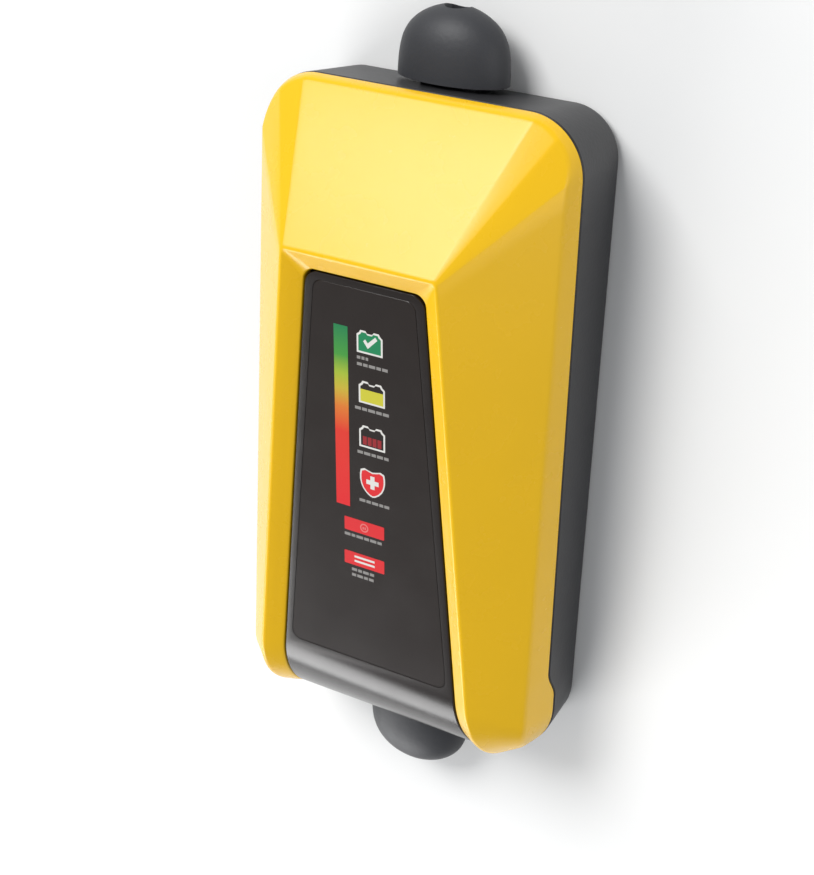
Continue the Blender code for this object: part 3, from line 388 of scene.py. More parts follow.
def make_gland(name, side):
    """A blunt nose: ellipses in X and Z that shrink by a cosine while the nose goes out by a sine, a neck, a flange."""
    low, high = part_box(name)
    inside, outer = sorted((abs(low.y), abs(high.y)))
    face = half_length + gap
    reach = (outer - face) / math.sin(math.radians(nose_turn))
    half_wide, middle, half_high = high.x, (high.z + low.z) / 2, (high.z - low.z) / 2
    turn = np.radians(np.linspace(0, nose_turn, 30))[:, None]
    around = np.linspace(0, 2 * math.pi, 72, endpoint=False)[None, :]
    share = np.cos(turn) + nose_fullness * np.sin(2 * turn) ** 2
    x = np.clip(half_wide * share * np.cos(around), -half_wide, half_wide)
    z = np.clip(middle + half_high * share * np.sin(around), middle - half_high, middle + half_high)
    y = side * (face + reach * np.sin(turn)) + 0 * around
    nose = shell(name + "_moulding", np.stack([x, y, z], -1))
    neck = block("neck", *at_end(side, neck_half_width, (inside + neck_sunk[0], face + neck_sunk[1]),
                                 neck_height - neck_half_height, neck_height + neck_half_height))
    flange = block("flange", *at_end(side, flange_half_width, (inside, inside + flange_thickness),
                                     case_floor + gap, case_floor + gap + flange_height))
    tip = face + reach * math.sin(math.radians(nose_turn))
    wide = cord_hole + cord_hole_chamfer
    bore = [(cord_hole, inside - cut_over), (cord_hole, tip + chamfer_places[0]),
            (wide, tip + chamfer_places[1]), (wide, tip + cut_over)]
    bore = [(radius, side * place) for radius, place in bore]
    hole = turned("cord_hole", bore, (0, 0, neck_height), axis="Y", count=40)
    return worked(nose, [neck, flange], [hole])


for name, side in (("mains_gland", 1), ("output_gland", -1)):
    placed(make_gland(name, side), gland_rubber, "gland_rubber", name, crease=50)

# ---- Case seal ----
# A soft rubber cord, moulded as a loop, that lies in the groove of the back case's rim and is pressed by the cover.
# It keeps the shape of its frame piece.
seal_rubber = moulding("seal_rubber", (0.028, 0.028, 0.030), 0.7, drift=0.1, patch=0.06, grain=2200.0, depth=0.00002)


def finished(finish, *names):
    """Gives frame pieces whose shape is kept their material."""
    for name in names:
        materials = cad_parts[name].data.materials
        materials.clear()
        materials.append(finish)


finished(seal_rubber, "case_seal")

# ---- Main circuit board ----
# Glass-fibre board with a green solder mask over its copper tracks. It stands on four posts of the back case under four
# small screws, above a sheet of vulcanised fibre that keeps the solder joints off the case.
mask_green = (0.008, 0.085, 0.030)
track_green = (0.020, 0.20, 0.065)
track_cells = 260.0
track_width = 0.045


def mixed_colour(material, share, first, second):
    """Mixes a moulding's colour, under its drift of tone, from two colours by a share."""
    tree = material.node_tree
    both = add_node(tree, "Mix", {"Factor": share, "A": (*first, 1), "B": (*second, 1)}, data_type="RGBA")
    tree.links.new(both.outputs["Result"], tree.nodes["toned"].inputs["A"])


def solder_mask_material():
    """Solder mask: a dark green with lighter tracks, where the edges of Voronoi cells are nearer than a width."""
    material = moulding("solder_mask", mask_green, 0.35, drift=0.05, grain=3000.0, depth=0.000004, Coat_Weight=0.2)
    tree = material.node_tree
    place = add_node(tree, "TexCoord").outputs["Object"]
    cells = add_node(tree, "TexVoronoi", {"Vector": place, "Scale": track_cells}, feature="DISTANCE_TO_EDGE")
    edge = add_node(tree, "MapRange", {
        "Value": cells.outputs["Distance"], "From Min": track_width, "From Max": track_width * 1.5,
        "To Min": 1.0, "To Max": 0.0}, interpolation_type="SMOOTHSTEP")
    mixed_colour(material, edge.outputs["Result"], mask_green, track_green)
    return material


solder_mask = solder_mask_material()
fibre_sheet = moulding("fibre_sheet", (0.36, 0.29, 0.17), 0.75, drift=0.16, patch=0.08, grain=700.0, depth=0.00004)
finished(solder_mask, "circuit_board")
finished(fibre_sheet, "insulation_sheet")
board_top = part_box("circuit_board")[1].z


def eased(sections, setbacks, steps=6):
    """Rounds each corner of closed sections: a corner P becomes the curve (1-t)^2 A + 2t(1-t) P + t^2 B between
    points A and B that stand the setback away from it, at most 0.45 of the way to its neighbours."""
    before, after = np.roll(sections, 1, axis=1), np.roll(sections, -1, axis=1)
    t = np.linspace(0, 1, steps)[None, None, :, None]

    def towards(other):
        span = other - sections
        length = np.linalg.norm(span, axis=-1, keepdims=True)
        return sections + span * np.minimum(np.asarray(setbacks)[None, :, None] / np.maximum(length, 1e-9), 0.45)

    a, b, p = towards(before)[:, :, None], towards(after)[:, :, None], sections[:, :, None]
    curve = (1 - t) ** 2 * a + 2 * t * (1 - t) * p + t ** 2 * b
    return curve.reshape(len(sections), -1, 3)


def soft_block(name, low, high, radius, count=5):
    """A box whose twelve edges are quarter arcs: rounded plans that draw in by an arc at its bottom and its top."""
    low, high = np.array(low, float), np.array(high, float)
    middle, half = (low + high) / 2, (high - low) / 2
    rings = []
    for end, turns in ((low[2], np.linspace(0, 90, count)), (high[2], np.linspace(90, 0, count))):
        up = 1 if end == low[2] else -1
        for turn in np.radians(turns):
            inset, rise = radius * (1 - math.sin(turn)), radius * (1 - math.cos(turn))
            corner = max(radius - inset, radius * 0.05)
            plan = rounded_plan(half[0] - inset, half[1] - inset, corner, count) + middle[:2]
            rings.append(ring(plan, end + up * rise))
    return shell(name, rings)


def node_block(node, radius):
    """A soft block that fills a frame piece's box."""
    return soft_block(node + "_body", *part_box(node), radius)


def standing(middle, half_x, half_y, foot, top):
    """Opposite corners of an upright bar about a middle in X and Y, between two heights."""
    x, y = middle
    return (x - half_x, y - half_y, foot), (x + half_x, y + half_y, top)


bar_edge = 0.00006


def many_blocks(name, spans, finish, slot):
    """Small plain bars, such as pins, joined into one piece: each is a closed box between two corners."""
    points, faces = [], []
    corners = np.array([(0, 0, 0), (1, 0, 0), (1, 1, 0), (0, 1, 0), (0, 0, 1), (1, 0, 1), (1, 1, 1), (0, 1, 1)])
    sides = np.array([(3, 2, 1, 0), (4, 5, 6, 7), (0, 1, 5, 4), (1, 2, 6, 5), (2, 3, 7, 6), (3, 0, 4, 7)])
    for number, (low, high) in enumerate(spans):
        low, high = np.array(low, float), np.array(high, float)
        points.append(low + corners * (high - low))
        faces.append(sides + 8 * number)
    made = piece_of(name, np.concatenate(points), np.concatenate(faces).tolist())
    bevel = made.modifiers.new("eased", "BEVEL")
    bevel.width, bevel.segments = bar_edge, 2
    return placed(made, finish, slot)


# ---- Board screws, clamp screws and case screws ----
# Zinc-plated steel screws with a pan head and a cross recess. Their shanks carry a rolled thread that cuts its own way
# into the plastic posts.
screw_steel = moulding(
    "screw_steel", (0.60, 0.60, 0.58), 0.30, drift=0.06, patch=0.10, grain=1800.0, depth=0.00001, Metallic=1.0)


def screw(node, head_radius, head_height, shank_radius, side, recess):
    """Head, thread and point as one turned grid. The thread's radius is the core plus its depth times a triangle
    wave of the turns climbed less the angle round; side is the direction from head to point along Z."""
    low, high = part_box(node)
    x, y = middle_of(node)[:2]
    seat = low.z + head_height if side > 0 else high.z - head_height
    length = high.z - low.z - head_height
    crown = np.radians(np.linspace(90, 0, 7))
    pitch, depth, columns = shank_radius * 0.72, shank_radius * 0.20, 24
    head = [(head_radius * (0.55 + 0.45 * math.cos(a)), -head_height * (0.35 + 0.65 * math.sin(a))) for a in crown]
    head += [(head_radius, -head_height * 0.05), (head_radius * 0.97, 0.0), (shank_radius * 0.9, 0.0)]
    steps = np.linspace(0.0001, length, max(int(length / pitch * 7), 12))[:, None]
    radius, along = np.array(head).T[:, :, None] + np.zeros(columns)
    angle = np.linspace(0, 2 * math.pi, columns, endpoint=False)[None, :]
    wave = np.abs(((steps / pitch - angle / (2 * math.pi)) % 1) * 2 - 1)
    taper = np.clip((length - steps) / (shank_radius * 1.6), 0.12, 1)
    thread = (shank_radius - depth + depth * wave) * taper
    radius, along = np.concatenate([radius, thread]), np.concatenate([along, steps + 0 * angle])
    grid = np.stack([x + radius * np.cos(angle), y + radius * np.sin(angle), seat + side * along], -1)
    top = seat - side * head_height
    ends = sorted((top - side * 0.0003, top + side * recess * 0.9))
    tools = [block("recess", *standing((x, y), wide, deep, *ends))
             for wide, deep in ((recess, recess * 0.22), (recess * 0.22, recess))]
    placed(worked(shell(node + "_turned", grid), removed=tools), screw_steel, "steel", node, crease=35)


board_screw = (0.0023, 0.0016, 0.0011, -1, 0.0011)
case_screw = (0.0024, 0.0020, 0.0014, 1, 0.0013)
for number in range(1, 5):
    for kind, sizes in (("board", board_screw), ("clamp", board_screw), ("case", case_screw)):
        screw(f"{kind}_screw_{number}", *sizes)

# ---- Cord clamps ----
# Two straps of natural nylon that hold the cords down on posts of the back case. They keep their frame pieces' shape.
nylon = moulding(
    "nylon", (0.62, 0.60, 0.53), 0.42, drift=0.06, patch=0.06, grain=1500.0, depth=0.00001,
    Subsurface_Weight=0.15, Subsurface_Scale=0.002)
finished(nylon, "mains_cord_clamp", "output_cord_clamp")

# ---- Connectors, fuse and filter ----
# Nylon housings with tinned pins, a ceramic fuse in brass caps, epoxy-dipped discs, a film capacitor in its box, a
# moulded bridge and a ferrite ring wound with enamelled copper wire.
tinned = moulding(
    "tinned_pins", (0.66, 0.66, 0.64), 0.28, drift=0.05, patch=0.08, Metallic=1.0)
brass = moulding(
    "brass_caps", (0.62, 0.44, 0.17), 0.26, drift=0.06, patch=0.08, Metallic=1.0)
ceramic = moulding("fuse_ceramic", (0.66, 0.63, 0.55), 0.30, drift=0.05, patch=0.05, grain=2000.0, depth=0.000008)
disc_epoxy = moulding("disc_epoxy", (0.018, 0.075, 0.28), 0.26, drift=0.12, patch=0.08, grain=650.0, depth=0.00002)
film_box = moulding("film_box", (0.62, 0.40, 0.045), 0.40, drift=0.05, patch=0.04, grain=1700.0, depth=0.00001)
black_epoxy = moulding("black_epoxy", (0.020, 0.020, 0.022), 0.50, drift=0.16, patch=0.08, grain=2600.0, depth=0.00002)
wire_enamel = moulding(
    "wire_enamel", (0.52, 0.17, 0.055), 0.24, drift=0.12, patch=0.08, grain=1500.0, depth=0.00001, Metallic=0.85)
ferrite_grey = moulding(
    "sintered_ferrite", (0.045, 0.045, 0.048), 0.58, drift=0.20, patch=0.12, grain=1700.0, depth=0.00004)
housing_edge = 0.0004
pin_place = 0.0020
pin_half = 0.0004
pin_foot, pin_drop = 0.0016, 0.0006
socket_half_x, socket_half_y = 0.0014, 0.0018
socket_floor = 0.0018
tube_drop = 0.0003
film_box_edge = 0.0005
leg_half = 0.0003
foot_clear = 0.0001

for node in ("mains_connector", "output_connector"):
    low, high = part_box(node)
    body = node_block(node, housing_edge)
    pins, sockets = [], []
    for x in (-pin_place, pin_place):
        at = (x, middle_of(node)[1])
        socket = standing(at, socket_half_x, socket_half_y, low.z + socket_floor, high.z + cut_over)
        sockets.append(block("socket", *socket))
        pins.append(standing(at, pin_half, pin_half, low.z + pin_foot, high.z - pin_drop))
    placed(worked(body, removed=sockets), nylon, "nylon", node)
    many_blocks(node + "_pins", pins, tinned, "steel")

low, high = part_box("mains_fuse")
fuse_axis = middle_of("mains_fuse") * (0, 1, 1)
fuse_radius = (high.z - low.z) / 2
tube = rod("mains_fuse_tube", fuse_radius * 0.90, low.x + tube_drop, high.x - tube_drop, fuse_axis, axis="X")
placed(tube, ceramic, "ceramic", "mains_fuse")
cap_profile = [(0.75, 0.0), (0.96, 0.0003), (1.0, 0.0007), (1.0, 0.0024), (0.91, 0.0026)]
for side, start in ((1, low.x), (-1, high.x)):
    cap = [(fuse_radius * share, start + side * place) for share, place in cap_profile]
    placed(turned(f"mains_fuse_cap_{side + 2}", cap, fuse_axis, axis="X"), brass, "ceramic")

for node in ("varistor", "y_capacitor"):
    low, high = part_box(node)
    radius, half = (high.x - low.x) / 2, (high.y - low.y) / 2
    turns = np.radians(np.linspace(-80, 80, 25))
    lens = [(radius * (0.25 + 0.75 * math.cos(t) ** 0.6), half * math.sin(t) / math.sin(turns[-1])) for t in turns]
    centre = middle_of(node)
    placed(turned(node + "_dipped", lens, centre, axis="Y"), disc_epoxy, "disc_epoxy", node)
    legs = [standing((centre[0] + x, centre[1]), leg_half, leg_half, board_top + foot_clear, low.z + radius * 0.5)
            for x in (-radius * 0.55, radius * 0.55)]
    many_blocks(node + "_legs", legs, tinned, "steel")

placed(node_block("x_capacitor", film_box_edge), film_box, "film_box", "x_capacitor")
placed(node_block("bridge_rectifier", housing_edge), black_epoxy, "black_moulding", "bridge_rectifier")


def tube_along(name, path, radius, sides=8):
    """A round wire along a closed path: each point's ring stands square to the path, in a frame from its tangent."""
    path = np.asarray(path, float)
    tangent = np.roll(path, -1, 0) - np.roll(path, 1, 0)
    tangent /= np.linalg.norm(tangent, axis=1, keepdims=True)
    upright = np.zeros_like(path)
    upright[:, 2] = 1
    across = np.cross(tangent, upright)
    length = np.linalg.norm(across, axis=1, keepdims=True)
    across = np.where(length > 1e-3, across / np.maximum(length, 1e-9), (1, 0, 0))
    other = np.cross(tangent, across)
    angle = np.linspace(0, 2 * math.pi, sides, endpoint=False)[None, :, None]
    rings = path[:, None] + radius * (np.cos(angle) * across[:, None] + np.sin(angle) * other[:, None])
    return shell(name, rings, close_rows=True)


def round_about(centre, reach, height, angle):
    """Points at a reach from the upright line through centre, at an angle round it and a height above centre."""
    x, y, z = centre
    return np.stack([x + reach * np.cos(angle), y + reach * np.sin(angle), z + height + 0 * angle], -1)


low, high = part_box("line_choke")
choke = middle_of("line_choke")
choke_thick = (high.z - low.z) / 2
choke_ring = (high.x - low.x) / 2 - choke_thick
wire_radius, choke_turns = 0.00032, 30
turn = np.linspace(0, 2 * math.pi, 60, endpoint=False)[:, None]
part = np.linspace(0, 2 * math.pi, 24, endpoint=False)[None, :]
core_thick = choke_thick - 2.4 * wire_radius
square = core_thick / np.maximum(np.abs(np.cos(part)), np.abs(np.sin(part))) ** 0.6
core = round_about(choke, choke_ring + square * np.cos(part), square * np.sin(part), turn)
placed(shell("line_choke_core", core, close_rows=True), ferrite_grey, "ferrite")
along = np.linspace(0, 2 * math.pi, choke_turns * 26, endpoint=False)
wound, out = choke_turns * along, choke_thick - wire_radius
path = round_about(choke, choke_ring + out * np.cos(wound), out * np.sin(wound), along)
placed(tube_along("line_choke_winding", path, wire_radius), wire_enamel, "copper", "line_choke")

# ---- Electrolytic capacitors ----
# Aluminium cans in a shrunk black sleeve with a pale stripe down the minus side. The can's bare top shows inside the
# sleeve's turned edge, scored with a cross so that it can vent.
can_aluminium = moulding(
    "can_aluminium", (0.66, 0.67, 0.68), 0.30, drift=0.05, patch=0.08, grain=1400.0, depth=0.00001, Metallic=1.0)
sleeve_black = (0.012, 0.014, 0.024)
stripe_grey = (0.42, 0.43, 0.42)
stripe_cosines = (0.900, 0.905)
score_half = 0.00012
score_depth = 0.0003
sleeve_edge = 0.0003
waist_height = 0.0021
waist_half = 0.0006
foot_taper = 0.0008
disc_profile = ((0.79, 0.00025), (0.70, 0.00012))


def sleeve_material(name, centre):
    """Sleeve: near-black with a pale stripe where the direction from the can's middle is within a cosine of -X."""
    material = moulding(name, sleeve_black, 0.24, drift=0.06, grain=700.0, depth=0.000008)
    tree = material.node_tree
    place = add_node(tree, "TexCoord").outputs["Object"]
    for operation, by in (
        ("SUBTRACT", centre), ("MULTIPLY", (1, 1, 0)), ("NORMALIZE", (0, 0, 0)), ("DOT_PRODUCT", (-1, 0, 0)),
    ):
        step = add_node(tree, "VectorMath", {0: place, 1: by}, operation=operation)
        place = step.outputs[0]
    stripe = add_node(tree, "MapRange", {
        "Value": step.outputs["Value"], "From Min": stripe_cosines[0], "From Max": stripe_cosines[1]})
    mixed_colour(material, stripe.outputs["Result"], sleeve_black, stripe_grey)
    return material


def eased_profile(profile, setback):
    """A turned body's closed profile with its corners rounded."""
    profile = np.array([[(radius, place, 0) for radius, place in profile]])
    return eased(profile, [setback] * profile.shape[1], 4)[0, :, :2]


for node in ("bulk_capacitor", "output_capacitor_1", "output_capacitor_2"):
    low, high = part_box(node)
    centre = middle_of(node) * (1, 1, 0)
    r, foot, top = (high.x - low.x) / 2, low.z, high.z
    waist = foot + waist_height
    profile = eased_profile([
        (r * 0.80, foot), (r * 0.97, foot), (r, foot + foot_taper), (r, waist - waist_half), (r * 0.94, waist),
        (r, waist + waist_half), (r, top - sleeve_edge), (r * 0.97, top), (r * 0.82, top),
        (r * 0.80, top - sleeve_edge)], sleeve_edge)
    sleeve = turned(node + "_sleeve", profile, centre, count=64)
    placed(sleeve, sleeve_material(node + "_sleeve_film", centre), "capacitor_sleeve", node)
    profile = [(r * 0.79, foot + 0.0010)] + [(r * share, top - drop) for share, drop in disc_profile]
    disc = turned(node + "_top", profile, centre)
    scores = [block("score", *standing(centre[:2], *halves, top - score_depth, top + cut_over))
              for halves in ((r * 0.55, score_half), (score_half, r * 0.55))]
    placed(worked(disc, removed=scores), can_aluminium, "aluminium")

# ---- Transformer and output inductor ----
# Two ferrite halves glued round a winding in yellow polyester tape, and an open ferrite drum wound with copper wire.
winding_tape = moulding(
    "winding_tape", (0.70, 0.50, 0.035), 0.28, drift=0.06, patch=0.05, grain=500.0, depth=0.00002, Coat_Weight=0.3)
finished(ferrite_grey, "transformer_core")
finished(winding_tape, "transformer_winding")
low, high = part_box("output_inductor")
drum = middle_of("output_inductor") * (1, 1, 0)
r, tall = (high.x - low.x) / 2, high.z - low.z
drum_profile = ((1.0, 0.0), (1.0, 0.16), (0.70, 0.22), (0.70, 0.78), (1.0, 0.84), (1.0, 1.0))
drum_edge = 0.0002
profile = eased_profile([(r * share, low.z + tall * up) for share, up in drum_profile], drum_edge)
placed(turned("output_inductor_drum", profile, drum), ferrite_grey, "ferrite", "output_inductor")
coil_low, coil_high, coil_wire = low.z + tall * 0.25, low.z + tall * 0.75, 0.00025
layers = 9
bands = np.linspace(0, 1, layers * 8 + 1)
waves = np.abs(np.sin(bands * layers * math.pi))
coil = np.stack([r * 0.74 + coil_wire * (1 + waves), coil_low + (coil_high - coil_low) * bands], 1)
coil = np.concatenate([[(r * 0.69, coil_low)], coil, [(r * 0.69, coil_high)]])
placed(turned("output_inductor_winding", coil, drum), wire_enamel, "copper")

# ---- Power devices and heat sinks ----
# Moulded power devices with a tinned metal tab, bolted flat to folded aluminium plates that stand on the board; with
# them the smaller moulded devices, which have rows of tinned pins.
sheet_aluminium = moulding(
    "sheet_aluminium", (0.68, 0.69, 0.70), 0.38, drift=0.05, patch=0.10, grain=2400.0, depth=0.00001, Metallic=1.0)
finished(sheet_aluminium, "transistor_heat_sink", "diode_heat_sink")
tab_thickness = 0.0011
tab_bottom = 0.0060
tab_inset = 0.0002
tab_hole = 0.0016
tab_hole_drop = 0.0019
device_back = 0.0004
device_foot, device_top = 0.0004, 0.0064
device_edge = 0.0003
leg_places = (-0.0025, 0, 0.0025)
leg_depths = (0.0014, 0.0021)
leg_top = 0.0008
dot_radius, dot_inset, dot_depth = 0.0004, 0.0010, 0.0001
pin_half_width = 0.0002
pin_runs = (
    (-0.0001, 0.0005, 0.0006, 0.0008), (-0.0001, 0.0011, 0.00005, 0.00022), (0.00035, 0.00055, 0.00005, 0.0008))

for node, side in (("power_transistor", 1), ("output_diode", -1)):
    low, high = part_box(node)
    out, inward = (high.x, low.x) if side > 0 else (low.x, high.x)
    middle_y = middle_of(node)[1]
    ends = sorted((out - side * device_back, inward))
    body = soft_block(
        node + "_body", (ends[0], low.y, low.z + device_foot), (ends[1], high.y, low.z + device_top), device_edge)
    placed(body, black_epoxy, "black_moulding", node)
    ends = sorted((out, out - side * tab_thickness))
    tab = soft_block(
        node + "_tab", (ends[0], low.y + tab_inset, low.z + tab_bottom), (ends[1], high.y - tab_inset, high.z),
        device_edge)
    centre = (0, middle_y, high.z - tab_hole_drop)
    hole = rod("tab_hole", tab_hole, low.x - cut_over, high.x + cut_over, centre, axis="X", count=32)
    placed(worked(tab, removed=[hole]), tinned, "steel")
    legs_x = sorted(out - side * depth for depth in leg_depths)
    legs = [((legs_x[0], middle_y + y - pin_half, board_top + foot_clear),
             (legs_x[1], middle_y + y + pin_half, low.z + leg_top)) for y in leg_places]
    many_blocks(node + "_legs", legs, tinned, "steel")


def chip(node, pin_count):
    """A moulded device with a dot at pin 1, and a row of flat pins that step out of each long side."""
    low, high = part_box(node)
    body = soft_block(node + "_body", low, high, device_edge)
    spot = (low.x + dot_inset, low.y + dot_inset, 0)
    dot = rod("dot", dot_radius, high.z - dot_depth, high.z + cut_over, spot, count=20)
    placed(worked(body, removed=[dot]), black_epoxy, "black_moulding", node)
    pins = []
    for x in low.x + (high.x - low.x) * (np.arange(pin_count) + 0.5) / pin_count:
        for edge, out in ((low.y, -1), (high.y, 1)):
            for near, far, foot, head in pin_runs:
                y = sorted((edge + out * near, edge + out * far))
                pins.append(((x - pin_half_width, y[0], low.z + foot), (x + pin_half_width, y[1], low.z + head)))
    many_blocks(node + "_pins", pins, tinned, "steel")


chip("controller_chip", 8)
chip("optocoupler", 2)
chip("output_transistor", 3)

# ---- Front cover ----
# The glossy yellow half: a long slope at the mains end, two sloping sides, and a horseshoe frame that steps down
# in two bands to the display and rolls over the output end. Moulded in one piece with four screw bosses inside.
cover_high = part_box("front_cover")[1]
cover_wall = 0.0022
fold_height = 0.020
fold_inset = 0.0010
end_fold_inset = 0.0004
ridge_top_y = half_length - 0.0252
ridge_half = 0.0149
frame_taper = 0.0871
ridge_slope = 0.079
end_run = 0.0155
end_start_y = -half_length + end_run
band_insets = (0.0022, 0.0034)
band_depths = (0.0015, 0.0023)
lip_thickness = 0.0020
end_lip_depth = 0.0004
hip_turns = (0.0, 48.0, 80.0)
hip_fold_height = 0.0188
end_fold_height = 0.0186
edge_corners = (0.0007, 0.0016, 0.0023)
inner_inset, inner_low_inset, inner_depth, inner_corner = -0.0008, 0.0018, 0.0040, 0.0010
inner_fold_drop = 0.0010
rim_steps = (0.0016, 0.0008, 0.0012)
cover_setbacks = (0.00025, 0.0008, 0.0007, 0.0005, 0.0003, 0.0001, 0.0003, 0.0008, 0.0001)
boss_radius = 0.0031
boss_bore = 0.0017
boss_bore_top = 0.0195
boss_depth = 0.92 * cover_wall
END, SIDE, CORNER, TOP = 44, 44, 44, 14


def ridge_height(y):
    """Height of the frame's ridge: straight, falling towards the output end."""
    return cover_high.z - ridge_slope * (ridge_top_y - y)


def ridge_reach(y):
    """Half width between the frame's two ridges: straight, growing towards the output end."""
    return ridge_half + frame_taper * (ridge_top_y - y)


def end_reach(x):
    """From where the roll starts to the case's outline, along Y: straight, then round the corner's arc."""
    over = np.maximum(0, x - (half_width - corner_low))
    return end_run - corner_low + np.sqrt(corner_low ** 2 - over ** 2)


def settled(depth, rise):
    """Depth below the ridge on the roll: from almost level at the parting line to its full value at the top."""
    foot = end_lip_depth * min(depth / band_depths[1], 1.0) + max(depth - band_depths[1], 0.0)
    return foot + (depth - foot) * rise


def rolled(x, turn, depth):
    """A point on the roll, turn degrees up it: a quarter ellipse in Y and Z whose axes shrink by the depth."""
    rise, lean = np.sin(np.radians(turn)), np.cos(np.radians(turn))
    below = settled(depth, rise)
    y = end_start_y - (end_reach(x) - below) * lean
    foot = parting(-half_length) + gap
    return y, foot + (ridge_height(y) - below - foot) * rise


def frame_line(inset, depth, corner, low_inset=None):
    """Half of a line that keeps an inset and a depth from the ridge: up the roll, along, round the corner, across."""
    turn = np.linspace(0, 90, END + 1)
    share = turn / 90
    place = (inset if low_inset is None else low_inset) * (1 - share) + inset * share
    y, z = rolled(ridge_reach(-half_length) - place, turn, depth)
    roll = np.stack([ridge_reach(y) - place, y, z], 1)
    top_y = ridge_top_y - inset - corner
    y = end_start_y + (top_y - end_start_y) * side_shares(SIDE)[1:]
    side = np.stack([ridge_reach(y) - inset, y, ridge_height(y) - depth], 1)
    bend = arc(corner, (ridge_reach(top_y) - inset - corner, top_y), 0, 90, CORNER + 1)[1:]
    bend = np.column_stack([bend, ridge_height(bend[:, 1]) - depth])
    across = bend[-1] * (1 - np.linspace(0, 1, TOP + 1)[1:, None] * (1, 0, 0))
    return np.concatenate([roll, side, bend, across])


def fold_heights(plan):
    """Heights of the fold round the mains corner, where flat facets from the ridge's corner meet the round wall.
    Past the last of the hip_turns it lies on the long slope's plane, and before that on the planes through the
    ridge's corner and two points of the wall, so it dips between them."""
    turn = np.linspace(0, 90, len(plan))
    end_y = plan[-1, 1]
    climb = (cover_high.z - end_fold_height) / (end_y - ridge_top_y)
    heights = end_fold_height + climb * (end_y - plan[:, 1])
    feet = [[np.interp(at, turn, line) for line in plan.T] for at in hip_turns]
    levels = [fold_height, hip_fold_height, np.interp(hip_turns[-1], turn, heights)]
    for number in (0, 1):
        points = np.array([(ridge_half, ridge_top_y), *feet[number:number + 2]])
        plane = np.linalg.solve(np.column_stack([points, np.ones(3)]), [cover_high.z, *levels[number:number + 2]])
        inside = (turn >= hip_turns[number]) & (turn <= hip_turns[number + 1])
        heights[inside] = plan[inside] @ plane[:2] + plane[2]
    return heights


def wall_line(inset, height, low_angle, foot_inset=0.0, hipped=False):
    """Half of a line round the cover's side wall, inset from the case's plan. It comes up from the parting line by
    a sine round the output corner, to its full height."""
    share = np.sin(np.radians(90 * np.linspace(0, 1, END + 1)))
    angle = np.radians(low_angle * (1 - np.linspace(0, 1, END + 1)))
    radius = corner_low - foot_inset - (inset - foot_inset) * share
    low = np.stack([half_width - corner_low + radius * np.cos(angle),
                    -half_length + corner_low + radius * np.sin(angle)], 1)
    bend_centre = np.array([half_width - corner_top, half_length - corner_top])
    bend = arc(1.0, (0, 0), 0, 90, CORNER + 1)
    inwards = np.linspace(inset, min(inset, end_fold_inset), CORNER + 1) if hipped else inset
    bend = bend_centre + bend * (corner_top - np.reshape(inwards, (-1, 1)))
    along = side_shares(SIDE)[1:-1, None]
    side = low[-1] * (1 - along) + bend[0] * along
    across = bend[-1] * (1 - np.linspace(0, 1, TOP + 1)[1:, None] * (1, 0))
    plan = np.concatenate([low, side, bend, across])
    foot = parting(plan[:, 1]) + gap
    rise = np.ones(len(plan))
    rise[:END + 1] = share
    top = np.full(len(plan), float(height))
    if hipped:
        top[-TOP - len(bend):-TOP] = fold_heights(bend)
        top[-TOP:] = end_fold_height
    return np.column_stack([plan, foot + (np.maximum(top, foot) - foot) * rise])


def mirrored(half):
    """Half a horseshoe of sections, its mirror image, and the one section that they share in the middle."""
    half[-1, :, 0] = 0
    return np.concatenate([half, half[-2::-1] * (-1, 1, 1)])


def make_front_cover():
    """Cross-sections of the wall along the horseshoe: rim, fold, ridge, two bands, lip, and back inside."""
    meeting = ridge_reach(-half_length) - (half_width - corner_low)
    rim_angles = [-math.degrees(math.acos((meeting + step) / corner_low)) for step in rim_steps]
    inset, depth = band_insets[1], band_depths[1]
    lines = [
        wall_line(0, 0, rim_angles[0]),
        wall_line(fold_inset, fold_height, rim_angles[1], hipped=True),
        frame_line(0, 0, edge_corners[0]),
        frame_line(band_insets[0], band_depths[0], edge_corners[1]),
        frame_line(inset, depth, edge_corners[2]),
        frame_line(inset, depth + lip_thickness, edge_corners[2]),
        frame_line(inner_inset, inner_depth, inner_corner, low_inset=inner_low_inset),
        wall_line(cover_wall + fold_inset, fold_height - inner_fold_drop, rim_angles[1], cover_wall),
        wall_line(cover_wall, 0, rim_angles[2], cover_wall),
    ]
    cover = shell("front_cover_moulding", eased(mirrored(np.stack(lines, 1)), cover_setbacks))
    joined, removed = [], []
    for x, y in pillar_places:
        outline = arc(boss_radius, (x, y), 0, 345, 24)
        slopes = [
            fold_height + (cover_high.z - fold_height) / (far - near) * (far - place)
            for far, near, place in (
                (half_width - fold_inset, ridge_half, np.abs(outline[:, 0])),
                (half_length - fold_inset, ridge_top_y, outline[:, 1]))
        ]
        top = np.min([*slopes, ridge_height(outline[:, 1])], axis=0) - boss_depth
        joined.append(shell("boss", [ring(outline, pillar_top + gap), ring(outline, top)]))
        removed.append(rod("boss_bore", boss_bore, pillar_top - cut_over, boss_bore_top, (x, y, 0), count=24))
    return worked(cover, joined, removed)


cover_plastic = moulding(
    "cover_plastic", (0.80, 0.47, 0.006), 0.27, drift=0.025, patch=0.03, grain=900.0, depth=0.000004,
    Specular_IOR_Level=0.32, Coat_Weight=0.10, Coat_Roughness=0.12)
placed(make_front_cover(), cover_plastic, "cover_plastic", "front_cover", crease=40)

